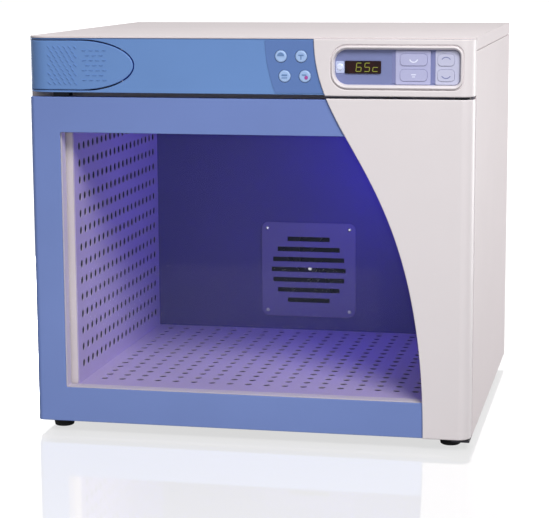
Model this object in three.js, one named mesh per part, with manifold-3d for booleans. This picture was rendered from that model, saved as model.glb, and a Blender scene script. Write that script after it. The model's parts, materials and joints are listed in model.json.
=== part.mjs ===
// Blanket warming cabinet: a countertop cabinet with a lit, perforated warming chamber behind a glass
// door that is hinged at the right. Millimetres, +Z up, the front faces -Y, the origin is on the floor
// under the middle of the cabinet.
import * as THREE from 'three';
import { mergeVertices } from 'three/addons/utils/BufferGeometryUtils.js';
import Module from 'manifold-3d';

const wasm = await Module();
wasm.setup();

// Overall size
const WIDTH = 762;
const DEPTH = 700;
const HEIGHT = 686;

// Clearances: between fitted pieces, and round pieces that move
const SEAT = 0.3;
const RUN = 0.5;

// How far a cut runs past the face it starts from
const CUT = 1;

// Sheet metal and moulded walls
const SHEET = 1.5;
const TOP_SHEET = 2.5;
const LINER_SHEET = 1.5;
const FRAME_SKIN = 3;
const PANEL_THICKNESS = 3.7;

// Depth of the front assembly, from the console bezel's face to the carcass
const BEZEL_PROUD = 2;
const DOOR_THICKNESS = 30;
const SEAL_SPACE = 6;

// Levels of the front; the white panels reach into the reveal from both sides
const FOOT_HEIGHT = 18;
const DOOR_LIFT = 2;
const HEADER_HEIGHT = 94;
const REVEAL = 8;
const HEADER_PANEL_LIP = 1.6;
const DOOR_PANEL_LIP = 2.2;
const FRAME_BAR = 60;

// How far the door's free edge stops short of the left side
const DOOR_SHORT = 7;

// Corners of the front, seen from above
const CORNER_RADIUS = 22;
const HEADER_END_RADIUS = 40;
const DOOR_EDGE_RADIUS = 10;

// Curved edge of the white panels, measured from the right side at the top and at the bottom
const SWOOSH_TOP_WIDTH = 263;
const SWOOSH_BOTTOM_WIDTH = 79;
const SWOOSH_TOP_PULL = 185;
const SWOOSH_BOTTOM_PULL = 455;
const SWOOSH_STEPS = 40;

// Side seam under the top cover
const TOP_FLANGE = 21;
const SIDE_SEAM = 2;
const TONGUE_SHEET = 1.5;
const TONGUE_LAP = 15;

// Door glass and gasket
const GLASS_THICKNESS = 5;
const GLASS_LAP = 10;
const GASKET_INSET = 21;
const GASKET_WIDTH = 12;
const PANEL_LEG_SHORT = 4;
const RIM_SHORT = 6;

// Hinge, at the right edge of the door
const HINGE_INSET = 16;
const HINGE_SETBACK = 19.5;
const HINGE_PLATE = 4;
const HINGE_PLATE_RISE = 3;
const HINGE_PLATE_WIDTH = 30;
const HINGE_PLATE_SIDE = 8;
const HINGE_PLATE_REACH = 8;
const HINGE_PLATE_TAIL = 24;
const HINGE_PLATE_SHOULDER = 8;
const PIN_RADIUS = 4;
const BUSH_WALL = 1.7;
const BUSH_LENGTH = 22;
const BUSH_FLANGE_RADIUS = 8.5;
const BUSH_ROOM = 2;

// Latch paddle, from the left end of the header to its rounded nose
const PADDLE_LENGTH = 192;
const PADDLE_NOSE = 98;
const PADDLE_HALF_HEIGHT = 42.5;
const PADDLE_GROOVE = 2.5;
const PADDLE_THICKNESS = 4;
const PADDLE_LEG = 22;
const PADDLE_PIVOT = 170;
const PADDLE_PIVOT_SETBACK = 9;
const PADDLE_BOSS_RADIUS = 5.5;
const PADDLE_PIN_RADIUS = 2.5;
const PADDLE_EAR = 5;
const PADDLE_EAR_HALF_WIDTH = 8;
const PADDLE_EAR_GAP = 1.5;
const PADDLE_HOLE_STOP = 4;

// Latch magnet carrier and the wedge that lifts it
const MAGNET_INSET = 60;
const MAGNET_HALF_WIDTH = 14;
const MAGNET_FRONT = 12;
const MAGNET_BACK = 32;
const MAGNET_NOTCH = 25;
const MAGNET_RISE = 32;
const MAGNET_STEP = 2;
const RAMP_TOP = 26;
const WEDGE_HALF_WIDTH = 10;
const WEDGE_TIP = 17.5;
const WEDGE_HEIGHT = 14.4;
const WEDGE_GAP = 0.6;
const STRIKE_SHEET = 2;
const STRIKE_MARGIN = 1;
const STRIKE_SHORT = 2;

// Keypad with four round mode keys beside the curved edge
const OVERLAY_WIDTH = 82;
const OVERLAY_THICKNESS = 1;
const OVERLAY_MARGIN = 2.5;
const MODE_KEY_RADIUS = 10;
const MODE_KEY_NEAR = 23;
const MODE_KEY_FAR = 57;
const MODE_ROW_UP = 17;
const MODE_ROW_DOWN = 15.5;
const KEY_PROUD = 2;
const KEY_CHAMFER = 0.8;
const KEY_STEM = 3;

// Console, measured from the right side and from the curved edge; its display, pads and keys take
// shares of its inner width
const CONSOLE_MARGIN = 17;
const CONSOLE_GAP = 28;
const CONSOLE_HEIGHT = 73.4;
const BEZEL_SIDE = 6.5;
const BEZEL_EDGE = 8.2;
const CONSOLE_LEFT_RADIUS = 21;
const CONSOLE_RIGHT_RADIUS = 10;
const BEZEL_COLLAR = 3;
const TRAY_SETBACK = 8.3;
const TRAY_THICKNESS = 2.5;
const TRAY_LAP = 5;
const DISPLAY_START_SHARE = 0.0815;
const DISPLAY_WIDTH_SHARE = 0.29;
const DISPLAY_HEIGHT = 20.6;
const DISPLAY_THICKNESS = 2;
const DISPLAY_RADIUS = 1.5;
const INDICATOR_START = 8.4;
const INDICATOR_RADIUS = 6;
const INDICATOR_FACE = 4;
const INDICATOR_RIM = 0.6;
const PAD_THICKNESS = 2;
const PAD_HALF_HEIGHT = 26;
const SET_PAD_START_SHARE = 0.488;
const SET_PAD_WIDTH_SHARE = 0.288;
const ARROW_PAD_START_SHARE = 0.795;
const ARROW_PAD_WIDTH_SHARE = 0.188;
const PAD_RADIUS = 6;
const PAD_KEY_RISE = 12.5;
const PAD_KEY_HEIGHT = 19;
const SET_KEY_WIDTH_SHARE = 0.215;
const ARROW_KEY_WIDTH_SHARE = 0.132;
const PAD_KEY_RADIUS = 6;
const PAD_KEY_PROUD = 1.2;
const PAD_KEY_STEM = 2;

// Control board behind the console
const BOARD_THICKNESS = 1.6;
const BOARD_STANDOFF = 12;
const BOARD_POST_RADIUS = 4;
const BOARD_POST_INSET = 8;
const BOARD_INSET = 4;
const BOARD_OVERHANG = 5;

// Warming chamber and the air ducts round it
const CHAMBER_WALL = 70;
const CEILING_DROP = 39;
const BACK_INSULATION = 46.5;
const DECK_DROP = 2;
const DUCT = 33;
const PLENUM = 78;
const SUMP = 28;
const LINER_SHELL = 1.5;
const TOP_INSULATION = 32;
const HOLE_RADIUS = 6.5;
const HOLE_PITCH = 100;
const HOLE_MARGIN = 40;

// Warm air: blower, return grille, heating element and probe
const BLOWER_RISE = 122;
const RETURN_RADIUS = 80;
const GRILLE_SIZE = 190;
const GRILLE_SLOTS = 7;
const GRILLE_SLOT_HEIGHT = 9;
const GRILLE_SPREAD = 144;
const GRILLE_REACH = 75;
const GRILLE_RADIUS = 14;
const IMPELLER_RADIUS = 75;
const IMPELLER_WIDTH = 26;
const IMPELLER_GAP = 14;
const IMPELLER_BLADES = 9;
const BLADE_THICKNESS = 2;
const BLADE_SWEEP = 0.5;
const HUB_RADIUS = 12;
const SHAFT_RADIUS = 4;
const SHAFT_SHORT = 2;
const MOTOR_RADIUS = 42;
const MOTOR_LENGTH = 38;
const ELEMENT_RADIUS = 102;
const ELEMENT_TUBE = 4;
const ELEMENT_GAP_DEG = 24;
const ELEMENT_STEPS = 16;
const ELEMENT_RINGS = 44;
const ELEMENT_BEND = 8;
const ELEMENT_TAIL = 12;
const PROBE_RADIUS = 3;
const PROBE_X = 132;
const PROBE_RISE = 118;
const PROBE_REACH = 45;
const PROBE_TAIL = 11;
const PROBE_FLANGE = 3;
const PROBE_FLANGE_RADIUS = 7.8;

// Chamber lamp on the right wall
const LAMP_LENGTH = 200;
const LAMP_HEIGHT = 26;
const LAMP_DEPTH = 14;
const LAMP_START = 246;
const LAMP_BELOW_CEILING = 102;

// Feet
const FOOT_RADIUS = 20;
const FOOT_BASE_RADIUS = 17;
const FOOT_CHAMFER = 1.5;
const FOOT_COLLAR = 3;
const FOOT_INSET_X = 38;
const FOOT_INSET_Y = 56;
const STUD_RADIUS = 5;

// Back panel: vents, power inlet and its rocker switch
const INLET_PROUD = 2;
const INLET_INSET = 99;
const INLET_DROP = 58;
const INLET_HALF_WIDTH = 23;
const INLET_HALF_HEIGHT = 31;
const INLET_LIP = 3;
const INLET_DEPTH = 30;
const SOCKET_DEPTH = 18;
const SOCKET_DROP = 13;
const SOCKET_HALF_WIDTH = 12.5;
const SOCKET_HALF_HEIGHT = 9.5;
const SOCKET_RADIUS = 3;
const CONTACT_SPOTS = [[-7, -2], [0, 2], [7, -2]];
const CONTACT_HALF_WIDTH = 1;
const CONTACT_HALF_HEIGHT = 2.5;
const CONTACT_SHORT = 3;
const ROCKER_RISE = 16;
const ROCKER_HALF_WIDTH = 7;
const ROCKER_HALF_HEIGHT = 10.5;
const ROCKER_TILT_DEG = 7;
const ROCKER_PIVOT_SETBACK = 4.6;
const ROCKER_STUB = 1.5;
const ROCKER_STUB_LENGTH = 2;
const ROCKER_WELL = 14;
const ROCKER_ROOM = 1.5;
const ROCKER_CROWN = 3;
const ROCKER_DIP = 2.4;
const ROCKER_SIDE = 2;
const ROCKER_KEEL = 6;
const ROCKER_KEEL_HALF = 5;
const VENT_COUNT = 5;
const VENT_WIDTH = 90;
const VENT_HEIGHT = 5;
const VENT_PITCH = 13;
const VENT_DROP = 12;

// Planes that follow from the sizes above
const HALF = WIDTH / 2;
const Y_FRONT = -DEPTH / 2;
const Y_PANEL = Y_FRONT + BEZEL_PROUD;
const Y_FASCIA = Y_PANEL + PANEL_THICKNESS + SEAT;
const Y_DOOR_BACK = Y_FASCIA + DOOR_THICKNESS;
const Y_BODY = Y_DOOR_BACK + SEAL_SPACE;
const Y_INSIDE = Y_BODY + SHEET + SEAT;
const Y_END = DEPTH / 2;
const Y_BACK = Y_END - INLET_PROUD;
const Z_DOOR = FOOT_HEIGHT + DOOR_LIFT;
const Z_HEADER = HEIGHT - HEADER_HEIGHT;
const Z_DOOR_TOP = Z_HEADER - REVEAL;
const Z_HEADER_TOP = HEIGHT - TOP_SHEET - SEAT;
const Z_HEADER_MID = (Z_HEADER + Z_HEADER_TOP) / 2;
const Z_SEAM = HEIGHT - TOP_FLANGE - SIDE_SEAM;
const X_DOOR = -HALF + DOOR_SHORT;
const X_FASCIA = HALF - PANEL_THICKNESS - SEAT;
const FASCIA_RADIUS = CORNER_RADIUS - PANEL_THICKNESS - SEAT;
const X_INSIDE = HALF - SHEET - SEAT;
const X_WINDOW = HALF - FRAME_BAR;
const Z_WINDOW = Z_DOOR + FRAME_BAR;
const Z_WINDOW_TOP = Z_DOOR_TOP - FRAME_BAR;
const X_HINGE = HALF - HINGE_INSET;
const Y_HINGE = Y_PANEL + HINGE_SETBACK;
const X_CHAMBER = HALF - CHAMBER_WALL;
const Z_DECK = Z_WINDOW - DECK_DROP;
const Z_CEILING = Z_DOOR_TOP - CEILING_DROP;
const Y_LINER_BACK = Y_BACK - SHEET - BACK_INSULATION;
const X_LINER = X_CHAMBER + DUCT;
const Y_CHAMBER_BACK = Y_LINER_BACK - PLENUM;
const X_INLET = HALF - INLET_INSET;
const Z_SUMP = Z_DECK - SUMP;
const Z_BLOWER = Z_DECK + BLOWER_RISE;
const Y_FOOT = [Y_PANEL + FOOT_INSET_Y, Y_BACK - FOOT_INSET_Y];
const X_FOOT = [-HALF + FOOT_INSET_X, HALF - FOOT_INSET_X];

// Colours and finishes
const FINISH = {
  blue: { color: 0x4f74b8, roughness: 0.42, metalness: 0 },
  deepBlue: { color: 0x3f62a6, roughness: 0.5, metalness: 0 },
  keyBlue: { color: 0x9cc0ea, roughness: 0.45, metalness: 0 },
  white: { color: 0xe9e5e6, roughness: 0.45, metalness: 0 },
  liner: { color: 0xdddbe6, roughness: 0.5, metalness: 0 },
  lavender: { color: 0xb4b8de, roughness: 0.45, metalness: 0 },
  tray: { color: 0x8f9bc8, roughness: 0.5, metalness: 0 },
  black: { color: 0x17181b, roughness: 0.6, metalness: 0 },
  steel: { color: 0xb9bcc0, roughness: 0.35, metalness: 0.9 },
  glass: { color: 0xcfd8e6, roughness: 0.05, metalness: 0 },
  lamp: { color: 0x7a66ff, roughness: 0.3, metalness: 0 },
  board: { color: 0x2f6b3f, roughness: 0.6, metalness: 0 },
  wool: { color: 0xd9c878, roughness: 0.95, metalness: 0 },
};

// Solids from closed geometry
function solid(geometry) {
  const bare = geometry.clone();
  bare.deleteAttribute('normal');
  bare.deleteAttribute('uv');
  const merged = mergeVertices(bare, 1e-4);
  const index = merged.index.array;
  const spots = merged.attributes.position.array;
  const faces = [];
  let volume = 0;
  const corner = [new THREE.Vector3(), new THREE.Vector3(), new THREE.Vector3()];
  for (let i = 0; i < index.length; i += 3) {
    const face = [index[i], index[i + 1], index[i + 2]];
    if (face[0] === face[1] || face[1] === face[2] || face[0] === face[2]) continue;
    face.forEach((v, k) => corner[k].fromArray(spots, 3 * v));
    volume += corner[0].dot(corner[1].clone().cross(corner[2]));
    faces.push(...face);
  }
  if (volume < 0) faces.reverse();
  const triVerts = new Uint32Array(faces);
  return new wasm.Manifold(new wasm.Mesh({ numProp: 3, vertProperties: spots, triVerts }));
}

function geometryOf(shape) {
  const mesh = shape.getMesh();
  const geometry = new THREE.BufferGeometry();
  geometry.setAttribute('position', new THREE.BufferAttribute(new Float32Array(mesh.vertProperties), 3));
  geometry.setIndex(new THREE.BufferAttribute(new Uint32Array(mesh.triVerts), 1));
  geometry.computeVertexNormals();
  return geometry;
}

// Blocks, plates and rods, each given by its ranges in the cabinet's own frame
function block([x0, x1], [y0, y1], [z0, z1]) {
  const geometry = new THREE.BoxGeometry(x1 - x0, y1 - y0, z1 - z0);
  geometry.translate((x0 + x1) / 2, (y0 + y1) / 2, (z0 + z1) / 2);
  return solid(geometry);
}

function extrusion(shape, depth, steps) {
  return new THREE.ExtrudeGeometry(shape, { depth, bevelEnabled: false, curveSegments: steps });
}

function planPlate(shape, [z0, z1], steps = 6) {
  return solid(extrusion(shape, z1 - z0, steps).translate(0, 0, z0));
}

function frontPlate(shape, [y0, y1], steps = 5) {
  const geometry = extrusion(shape, y1 - y0, steps);
  geometry.rotateX(Math.PI / 2);
  return solid(geometry.translate(0, y1, 0));
}

function sidePlate(points, [x0, x1]) {
  const shape = new THREE.Shape(points.map(([y, z]) => new THREE.Vector2(y, z)));
  const turn = new THREE.Matrix4().makeBasis(
    new THREE.Vector3(0, 1, 0),
    new THREE.Vector3(0, 0, 1),
    new THREE.Vector3(1, 0, 0),
  );
  return solid(extrusion(shape, x1 - x0, 1).applyMatrix4(turn).translate(x0, 0, 0));
}

function rodY(x, z, radius, [y0, y1], sides = 16) {
  const geometry = new THREE.CylinderGeometry(radius, radius, y1 - y0, sides);
  return solid(geometry.translate(x, (y0 + y1) / 2, z));
}

function rodZ(x, y, radius, [z0, z1], sides = 16) {
  const geometry = new THREE.CylinderGeometry(radius, radius, z1 - z0, sides);
  return solid(geometry.rotateX(Math.PI / 2).translate(x, y, (z0 + z1) / 2));
}

function rodX(y, z, radius, [x0, x1], sides = 16) {
  const geometry = new THREE.CylinderGeometry(radius, radius, x1 - x0, sides);
  return solid(geometry.rotateZ(Math.PI / 2).translate((x0 + x1) / 2, y, z));
}

function turned(profile, sides) {
  return new THREE.LatheGeometry(profile.map(([r, h]) => new THREE.Vector2(r, h)), sides);
}

// Ranges, widened at both ends
function grown([a, b], by) {
  return [a - by, b + by];
}

function past(range) {
  return grown(range, CUT);
}

// Outlines
// A front outline seen from above; a left corner larger than the depth turns only as far as that lets it
function planOutline([x0, x1], [yFront, yBack], leftRadius, rightRadius) {
  const shape = new THREE.Shape();
  const turn = Math.acos(Math.max(0, 1 - (yBack - yFront) / leftRadius));
  if (leftRadius < yBack - yFront) {
    shape.moveTo(x0, yBack);
    shape.lineTo(x0, yFront + leftRadius);
  }
  if (leftRadius > 0) {
    const middle = x0 + leftRadius * Math.sin(turn);
    shape.absarc(middle, yFront + leftRadius, leftRadius, 1.5 * Math.PI - turn, 1.5 * Math.PI, false);
  }
  if (rightRadius > 0) {
    shape.lineTo(x1 - rightRadius, yFront);
    shape.absarc(x1 - rightRadius, yFront + rightRadius, rightRadius, 1.5 * Math.PI, 2 * Math.PI, false);
  } else {
    shape.lineTo(x1, yFront);
  }
  shape.lineTo(x1, yBack);
  return shape;
}

function roundedBox([x0, x1], [z0, z1], leftRadius, rightRadius) {
  const shape = new THREE.Shape();
  shape.moveTo(x0 + leftRadius, z0);
  shape.lineTo(x1 - rightRadius, z0);
  shape.absarc(x1 - rightRadius, z0 + rightRadius, rightRadius, -Math.PI / 2, 0, false);
  shape.lineTo(x1, z1 - rightRadius);
  shape.absarc(x1 - rightRadius, z1 - rightRadius, rightRadius, 0, Math.PI / 2, false);
  shape.lineTo(x0 + leftRadius, z1);
  shape.absarc(x0 + leftRadius, z1 - leftRadius, leftRadius, Math.PI / 2, Math.PI, false);
  shape.lineTo(x0, z0 + leftRadius);
  shape.absarc(x0 + leftRadius, z0 + leftRadius, leftRadius, Math.PI, 1.5 * Math.PI, false);
  return shape;
}

// The curved edge that runs down from the header to the foot of the door
const swoosh = new THREE.CubicBezierCurve(
  new THREE.Vector2(HALF - SWOOSH_TOP_WIDTH, HEIGHT),
  new THREE.Vector2(HALF - SWOOSH_TOP_WIDTH, HEIGHT - SWOOSH_TOP_PULL),
  new THREE.Vector2(HALF - SWOOSH_BOTTOM_WIDTH, FOOT_HEIGHT + SWOOSH_BOTTOM_PULL),
  new THREE.Vector2(HALF - SWOOSH_BOTTOM_WIDTH, FOOT_HEIGHT),
);

function swooshAt(z) {
  const points = swoosh.getPoints(8 * SWOOSH_STEPS);
  const below = Math.max(1, points.findIndex((p) => p.y <= z));
  const [a, b] = [points[below - 1], points[below]];
  return a.x + ((b.x - a.x) * (a.y - z)) / (a.y - b.y);
}

function rightOfSwoosh(shift, [y0, y1]) {
  const shape = new THREE.Shape();
  shape.moveTo(WIDTH, HEIGHT + CUT);
  shape.lineTo(HALF - SWOOSH_TOP_WIDTH - shift, HEIGHT + CUT);
  swoosh.getPoints(SWOOSH_STEPS).forEach((p) => shape.lineTo(p.x - shift, p.y));
  shape.lineTo(HALF - SWOOSH_BOTTOM_WIDTH - shift, 0);
  shape.lineTo(WIDTH, 0);
  return frontPlate(shape, [y0, y1]);
}

// Groups of the assembly
const cabinet = new THREE.Group();
const groups = {};
['carcass', 'chamber', 'air', 'header', 'controls', 'latch', 'door', 'power'].forEach((name) => {
  groups[name] = new THREE.Group();
  groups[name].name = `${name}_group`;
  cabinet.add(groups[name]);
});

function place(group, name, shape, finish, at = [0, 0, 0]) {
  const mesh = new THREE.Mesh(geometryOf(shape), new THREE.MeshStandardMaterial(FINISH[finish]));
  mesh.name = name;
  mesh.position.set(...at);
  groups[group].add(mesh);
  return mesh;
}

// Carcass
function sidePanel(side) {
  const outer = side < 0 ? [-HALF, -HALF + SHEET] : [HALF - SHEET, HALF];
  const face = HALF - SHEET - SEAT;
  const deep = face - TONGUE_SHEET;
  const lap = side < 0 ? [-face - 2 * SEAT, -deep] : [deep, face + 2 * SEAT];
  const tongue = side < 0 ? [-face, -deep] : [deep, face];
  const along = [Y_INSIDE, Y_BACK - SHEET - SEAT];
  return block(outer, [Y_BODY, Y_BACK], [FOOT_HEIGHT, Z_SEAM])
    .add(block(lap, along, [Z_SEAM - TONGUE_LAP, Z_SEAM - SIDE_SEAM]))
    .add(block(tongue, along, [Z_SEAM - TONGUE_LAP, Z_HEADER_TOP - SHEET]));
}

function topCover() {
  const lip = planOutline([-HALF, HALF], [Y_FASCIA - SHEET, Y_BODY], HEADER_END_RADIUS, CORNER_RADIUS);
  const sheet = [HEIGHT - TOP_SHEET, HEIGHT];
  const flange = [HEIGHT - TOP_FLANGE, HEIGHT - TOP_SHEET / 2];
  return planPlate(lip, sheet)
    .add(block([-HALF, HALF], [Y_BODY - CUT, Y_BACK], sheet))
    .add(block([-HALF, -HALF + SHEET], [Y_BODY, Y_BACK], flange))
    .add(block([HALF - SHEET, HALF], [Y_BODY, Y_BACK], flange))
    .add(block([-HALF, HALF], [Y_BACK - SHEET, Y_BACK], flange));
}

function bottomPan() {
  const y = [Y_INSIDE, Y_BACK - SHEET - SEAT];
  let pan = block([-X_INSIDE, X_INSIDE], y, [FOOT_HEIGHT, FOOT_HEIGHT + SHEET]);
  for (const x of X_FOOT) {
    for (const at of Y_FOOT) {
      pan = pan.subtract(rodZ(x, at, STUD_RADIUS + SEAT, [0, HEIGHT], 16));
    }
  }
  return pan;
}

function backPanel() {
  const through = [Y_BACK - 2 * SHEET, Y_BACK + SHEET];
  const hole = (half, mid, reach) => [mid - half - reach, mid + half + reach];
  const zInlet = HEIGHT - INLET_DROP;
  const rise = [FOOT_HEIGHT, HEIGHT - TOP_FLANGE - SEAT];
  let panel = block([-X_INSIDE, X_INSIDE], [Y_BACK - SHEET, Y_BACK], rise);
  panel = panel.subtract(
    block(hole(INLET_HALF_WIDTH, X_INLET, SEAT), through, hole(INLET_HALF_HEIGHT, zInlet, SEAT)),
  );
  for (let i = 0; i < VENT_COUNT; i += 1) {
    const z = HEIGHT - TOP_FLANGE - VENT_DROP - i * VENT_PITCH;
    for (const x of [-VENT_WIDTH, VENT_WIDTH]) {
      panel = panel.subtract(
        block([x - VENT_WIDTH / 2, x + VENT_WIDTH / 2], through, [z - VENT_HEIGHT, z]),
      );
    }
  }
  return panel;
}

// Hinge plates lie in the gaps above and below the door
const Z_UPPER_PLATE = Z_DOOR_TOP + HINGE_PLATE_RISE;
const Z_LOWER_PLATE = FOOT_HEIGHT - SEAT - HINGE_PLATE;
const HINGE_PLATE_X = [X_INSIDE - HINGE_PLATE_WIDTH, X_HINGE + HINGE_PLATE_SIDE];

function hingePlate([z0, z1], [y0, y1], [x0, x1]) {
  return block([x0, x1], [y0, y1], [z0, z1]).subtract(
    rodZ(X_HINGE, Y_HINGE, PIN_RADIUS + SEAT, past([z0, z1])),
  );
}

function frontFrame() {
  const through = [Y_BODY - SHEET, Y_BODY + 2 * SHEET];
  const slot = [HINGE_PLATE_X[0] - SEAT, HINGE_PLATE_X[1] + SHEET];
  return block([-X_INSIDE, X_INSIDE], [Y_BODY, Y_BODY + SHEET], [FOOT_HEIGHT, Z_HEADER_TOP])
    .subtract(block([-X_CHAMBER, X_CHAMBER], through, [Z_DECK, Z_CEILING]))
    .subtract(block(slot, through, [Z_UPPER_PLATE - SEAT, Z_UPPER_PLATE + HINGE_PLATE + SEAT]));
}

place('carcass', 'left_side_panel', sidePanel(-1), 'white');
place('carcass', 'right_side_panel', sidePanel(1), 'white');
place('carcass', 'top_cover', topCover(), 'white');
place('carcass', 'bottom_pan', bottomPan(), 'white');
place('carcass', 'back_panel', backPanel(), 'white');
place('carcass', 'front_frame', frontFrame(), 'liner');

function foot() {
  const top = FOOT_HEIGHT - SEAT;
  const profile = [
    [0, 0],
    [FOOT_BASE_RADIUS - FOOT_CHAMFER, 0],
    [FOOT_BASE_RADIUS, FOOT_CHAMFER],
    [FOOT_RADIUS, top - FOOT_COLLAR],
    [FOOT_RADIUS, top],
    [STUD_RADIUS, top],
    [STUD_RADIUS, FOOT_HEIGHT + SHEET],
    [0, FOOT_HEIGHT + SHEET],
  ];
  return solid(turned(profile, 16).rotateX(Math.PI / 2));
}

['front', 'back'].forEach((row, j) => {
  ['left', 'right'].forEach((side, i) => {
    place('carcass', `foot_${row}_${side}`, foot(), 'black', [X_FOOT[i], Y_FOOT[j], 0]);
  });
});

// The lower plate is held by the pan and leaves room for the foot
function lowerHingePlate() {
  const z = [Z_LOWER_PLATE, Z_LOWER_PLATE + HINGE_PLATE];
  const y = [Y_FASCIA + HINGE_PLATE_REACH, Y_FOOT[0] + FOOT_RADIUS + HINGE_PLATE_TAIL];
  const wide = [X_FOOT[1] - FOOT_RADIUS - HINGE_PLATE_SHOULDER, X_INSIDE];
  return hingePlate(z, y, wide)
    .subtract(rodZ(X_FOOT[1], Y_FOOT[0], FOOT_RADIUS + RUN, past(z), 28))
    .subtract(block([0, HINGE_PLATE_X[0]], [y[0] - CUT, Y_BODY], past(z)));
}

const upperY = [Y_FASCIA + HINGE_PLATE_REACH, Y_BODY + SHEET + HINGE_PLATE_TAIL];
const upperZ = [Z_UPPER_PLATE, Z_UPPER_PLATE + HINGE_PLATE];
const upperPinZ = [Z_DOOR_TOP - BUSH_LENGTH, Z_UPPER_PLATE + HINGE_PLATE];
const lowerPinZ = [Z_LOWER_PLATE, Z_DOOR + BUSH_LENGTH];
place('carcass', 'upper_hinge_bracket', hingePlate(upperZ, upperY, HINGE_PLATE_X), 'steel');
place('carcass', 'lower_hinge_bracket', lowerHingePlate(), 'steel');
place('carcass', 'upper_hinge_pin', rodZ(X_HINGE, Y_HINGE, PIN_RADIUS, upperPinZ), 'steel');
place('carcass', 'lower_hinge_pin', rodZ(X_HINGE, Y_HINGE, PIN_RADIUS, lowerPinZ), 'steel');

// Chamber: perforated walls and deck inside a closed liner, wrapped in insulation
function spread([from, to]) {
  const count = Math.floor((to - from - 2 * HOLE_MARGIN) / HOLE_PITCH) + 1;
  const start = (from + to - (count - 1) * HOLE_PITCH) / 2;
  return Array.from({ length: count }, (_, i) => start + i * HOLE_PITCH);
}

function ductPanel(side) {
  const x = side < 0 ? [-X_CHAMBER - LINER_SHEET, -X_CHAMBER] : [X_CHAMBER, X_CHAMBER + LINER_SHEET];
  const drill = past(x);
  let panel = block(x, [Y_INSIDE, Y_CHAMBER_BACK + LINER_SHEET], [Z_SUMP + SEAT, Z_CEILING - SEAT]);
  for (const y of spread([Y_INSIDE, Y_CHAMBER_BACK])) {
    for (const z of spread([Z_DECK, Z_CEILING])) {
      panel = panel.subtract(rodX(y, z, HOLE_RADIUS, drill, 6));
    }
  }
  return panel;
}

function floorDeck() {
  const x = [-X_CHAMBER + SEAT, X_CHAMBER - SEAT];
  const y = [Y_INSIDE, Y_CHAMBER_BACK - SEAT];
  let deck = block(x, y, [Z_DECK - LINER_SHEET, Z_DECK]);
  for (const hx of spread(x)) {
    for (const hy of spread(y)) {
      deck = deck.subtract(rodZ(hx, hy, HOLE_RADIUS, [Z_DECK - 2 * LINER_SHEET, Z_DECK + CUT], 6));
    }
  }
  return deck;
}

function chamberBack() {
  const y = [Y_CHAMBER_BACK, Y_CHAMBER_BACK + LINER_SHEET];
  return block([-X_CHAMBER + SEAT, X_CHAMBER - SEAT], y, [Z_SUMP + SEAT, Z_CEILING - SEAT]).subtract(
    rodY(0, Z_BLOWER, RETURN_RADIUS, past(y), 24),
  );
}

const elementEnds = [90 + ELEMENT_GAP_DEG / 2, 450 - ELEMENT_GAP_DEG / 2];
const elementSpot = (deg) => {
  const turn = THREE.MathUtils.degToRad(deg);
  return [ELEMENT_RADIUS * Math.cos(turn), Z_BLOWER + ELEMENT_RADIUS * Math.sin(turn)];
};

function linerShell() {
  const back = [Y_LINER_BACK - CUT, Y_LINER_BACK + 2 * LINER_SHELL];
  const far = X_LINER + LINER_SHELL;
  let shell = block(
    [-far, far],
    [Y_INSIDE, Y_LINER_BACK + LINER_SHELL],
    [Z_SUMP - LINER_SHELL, Z_CEILING - SEAT],
  ).subtract(block([-X_LINER, X_LINER], [Y_INSIDE - CUT, Y_LINER_BACK], [Z_SUMP, Z_CEILING + CUT]));
  shell = shell.subtract(rodY(0, Z_BLOWER, SHAFT_RADIUS + RUN, back));
  shell = shell.subtract(rodY(PROBE_X, Z_BLOWER + PROBE_RISE, PROBE_RADIUS + SEAT, back, 12));
  for (const deg of elementEnds) {
    shell = shell.subtract(rodY(...elementSpot(deg), ELEMENT_TUBE + RUN, back, 12));
  }
  return shell;
}

function insulationWrap() {
  const along = [Y_INSIDE, Y_BACK - SHEET - SEAT];
  const hollow = X_LINER + LINER_SHELL + SEAT;
  const roof = Z_CEILING + LINER_SHEET + SEAT;
  return block([-X_INSIDE, X_INSIDE], along, [FOOT_HEIGHT + SHEET + SEAT, roof + TOP_INSULATION]).subtract(
    block([-hollow, hollow], past(along), [Z_SUMP - LINER_SHELL - SEAT, roof]),
  );
}

function backInsulation() {
  const y = [Y_LINER_BACK + LINER_SHELL + SEAT, Y_BACK - SHEET - SEAT];
  const drill = past(y);
  const far = X_LINER + LINER_SHELL;
  let slab = block([-far, far], y, [Z_SUMP - LINER_SHELL, Z_CEILING]);
  slab = slab.subtract(rodY(0, Z_BLOWER, MOTOR_RADIUS + SEAT, drill, 32));
  slab = slab.subtract(rodY(PROBE_X, Z_BLOWER + PROBE_RISE, 3 * PROBE_RADIUS, drill, 12));
  for (const deg of elementEnds) {
    slab = slab.subtract(rodY(...elementSpot(deg), ELEMENT_TUBE + RUN, drill, 12));
  }
  return slab;
}

function ceiling() {
  const far = X_LINER + LINER_SHELL;
  return block([-far, far], [Y_INSIDE, Y_LINER_BACK + LINER_SHELL], [Z_CEILING, Z_CEILING + LINER_SHEET]);
}

function chamberLamp() {
  const z = Z_CEILING - LAMP_BELOW_CEILING;
  const wall = X_CHAMBER - SEAT;
  const y = Y_BODY + LAMP_START;
  const shape = new THREE.Shape();
  shape.moveTo(wall, z - LAMP_HEIGHT / 2);
  shape.lineTo(wall, z + LAMP_HEIGHT / 2);
  shape.absellipse(wall, z, LAMP_DEPTH, LAMP_HEIGHT / 2, Math.PI / 2, 1.5 * Math.PI, false);
  return frontPlate(shape, [y, y + LAMP_LENGTH], 10);
}

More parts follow.
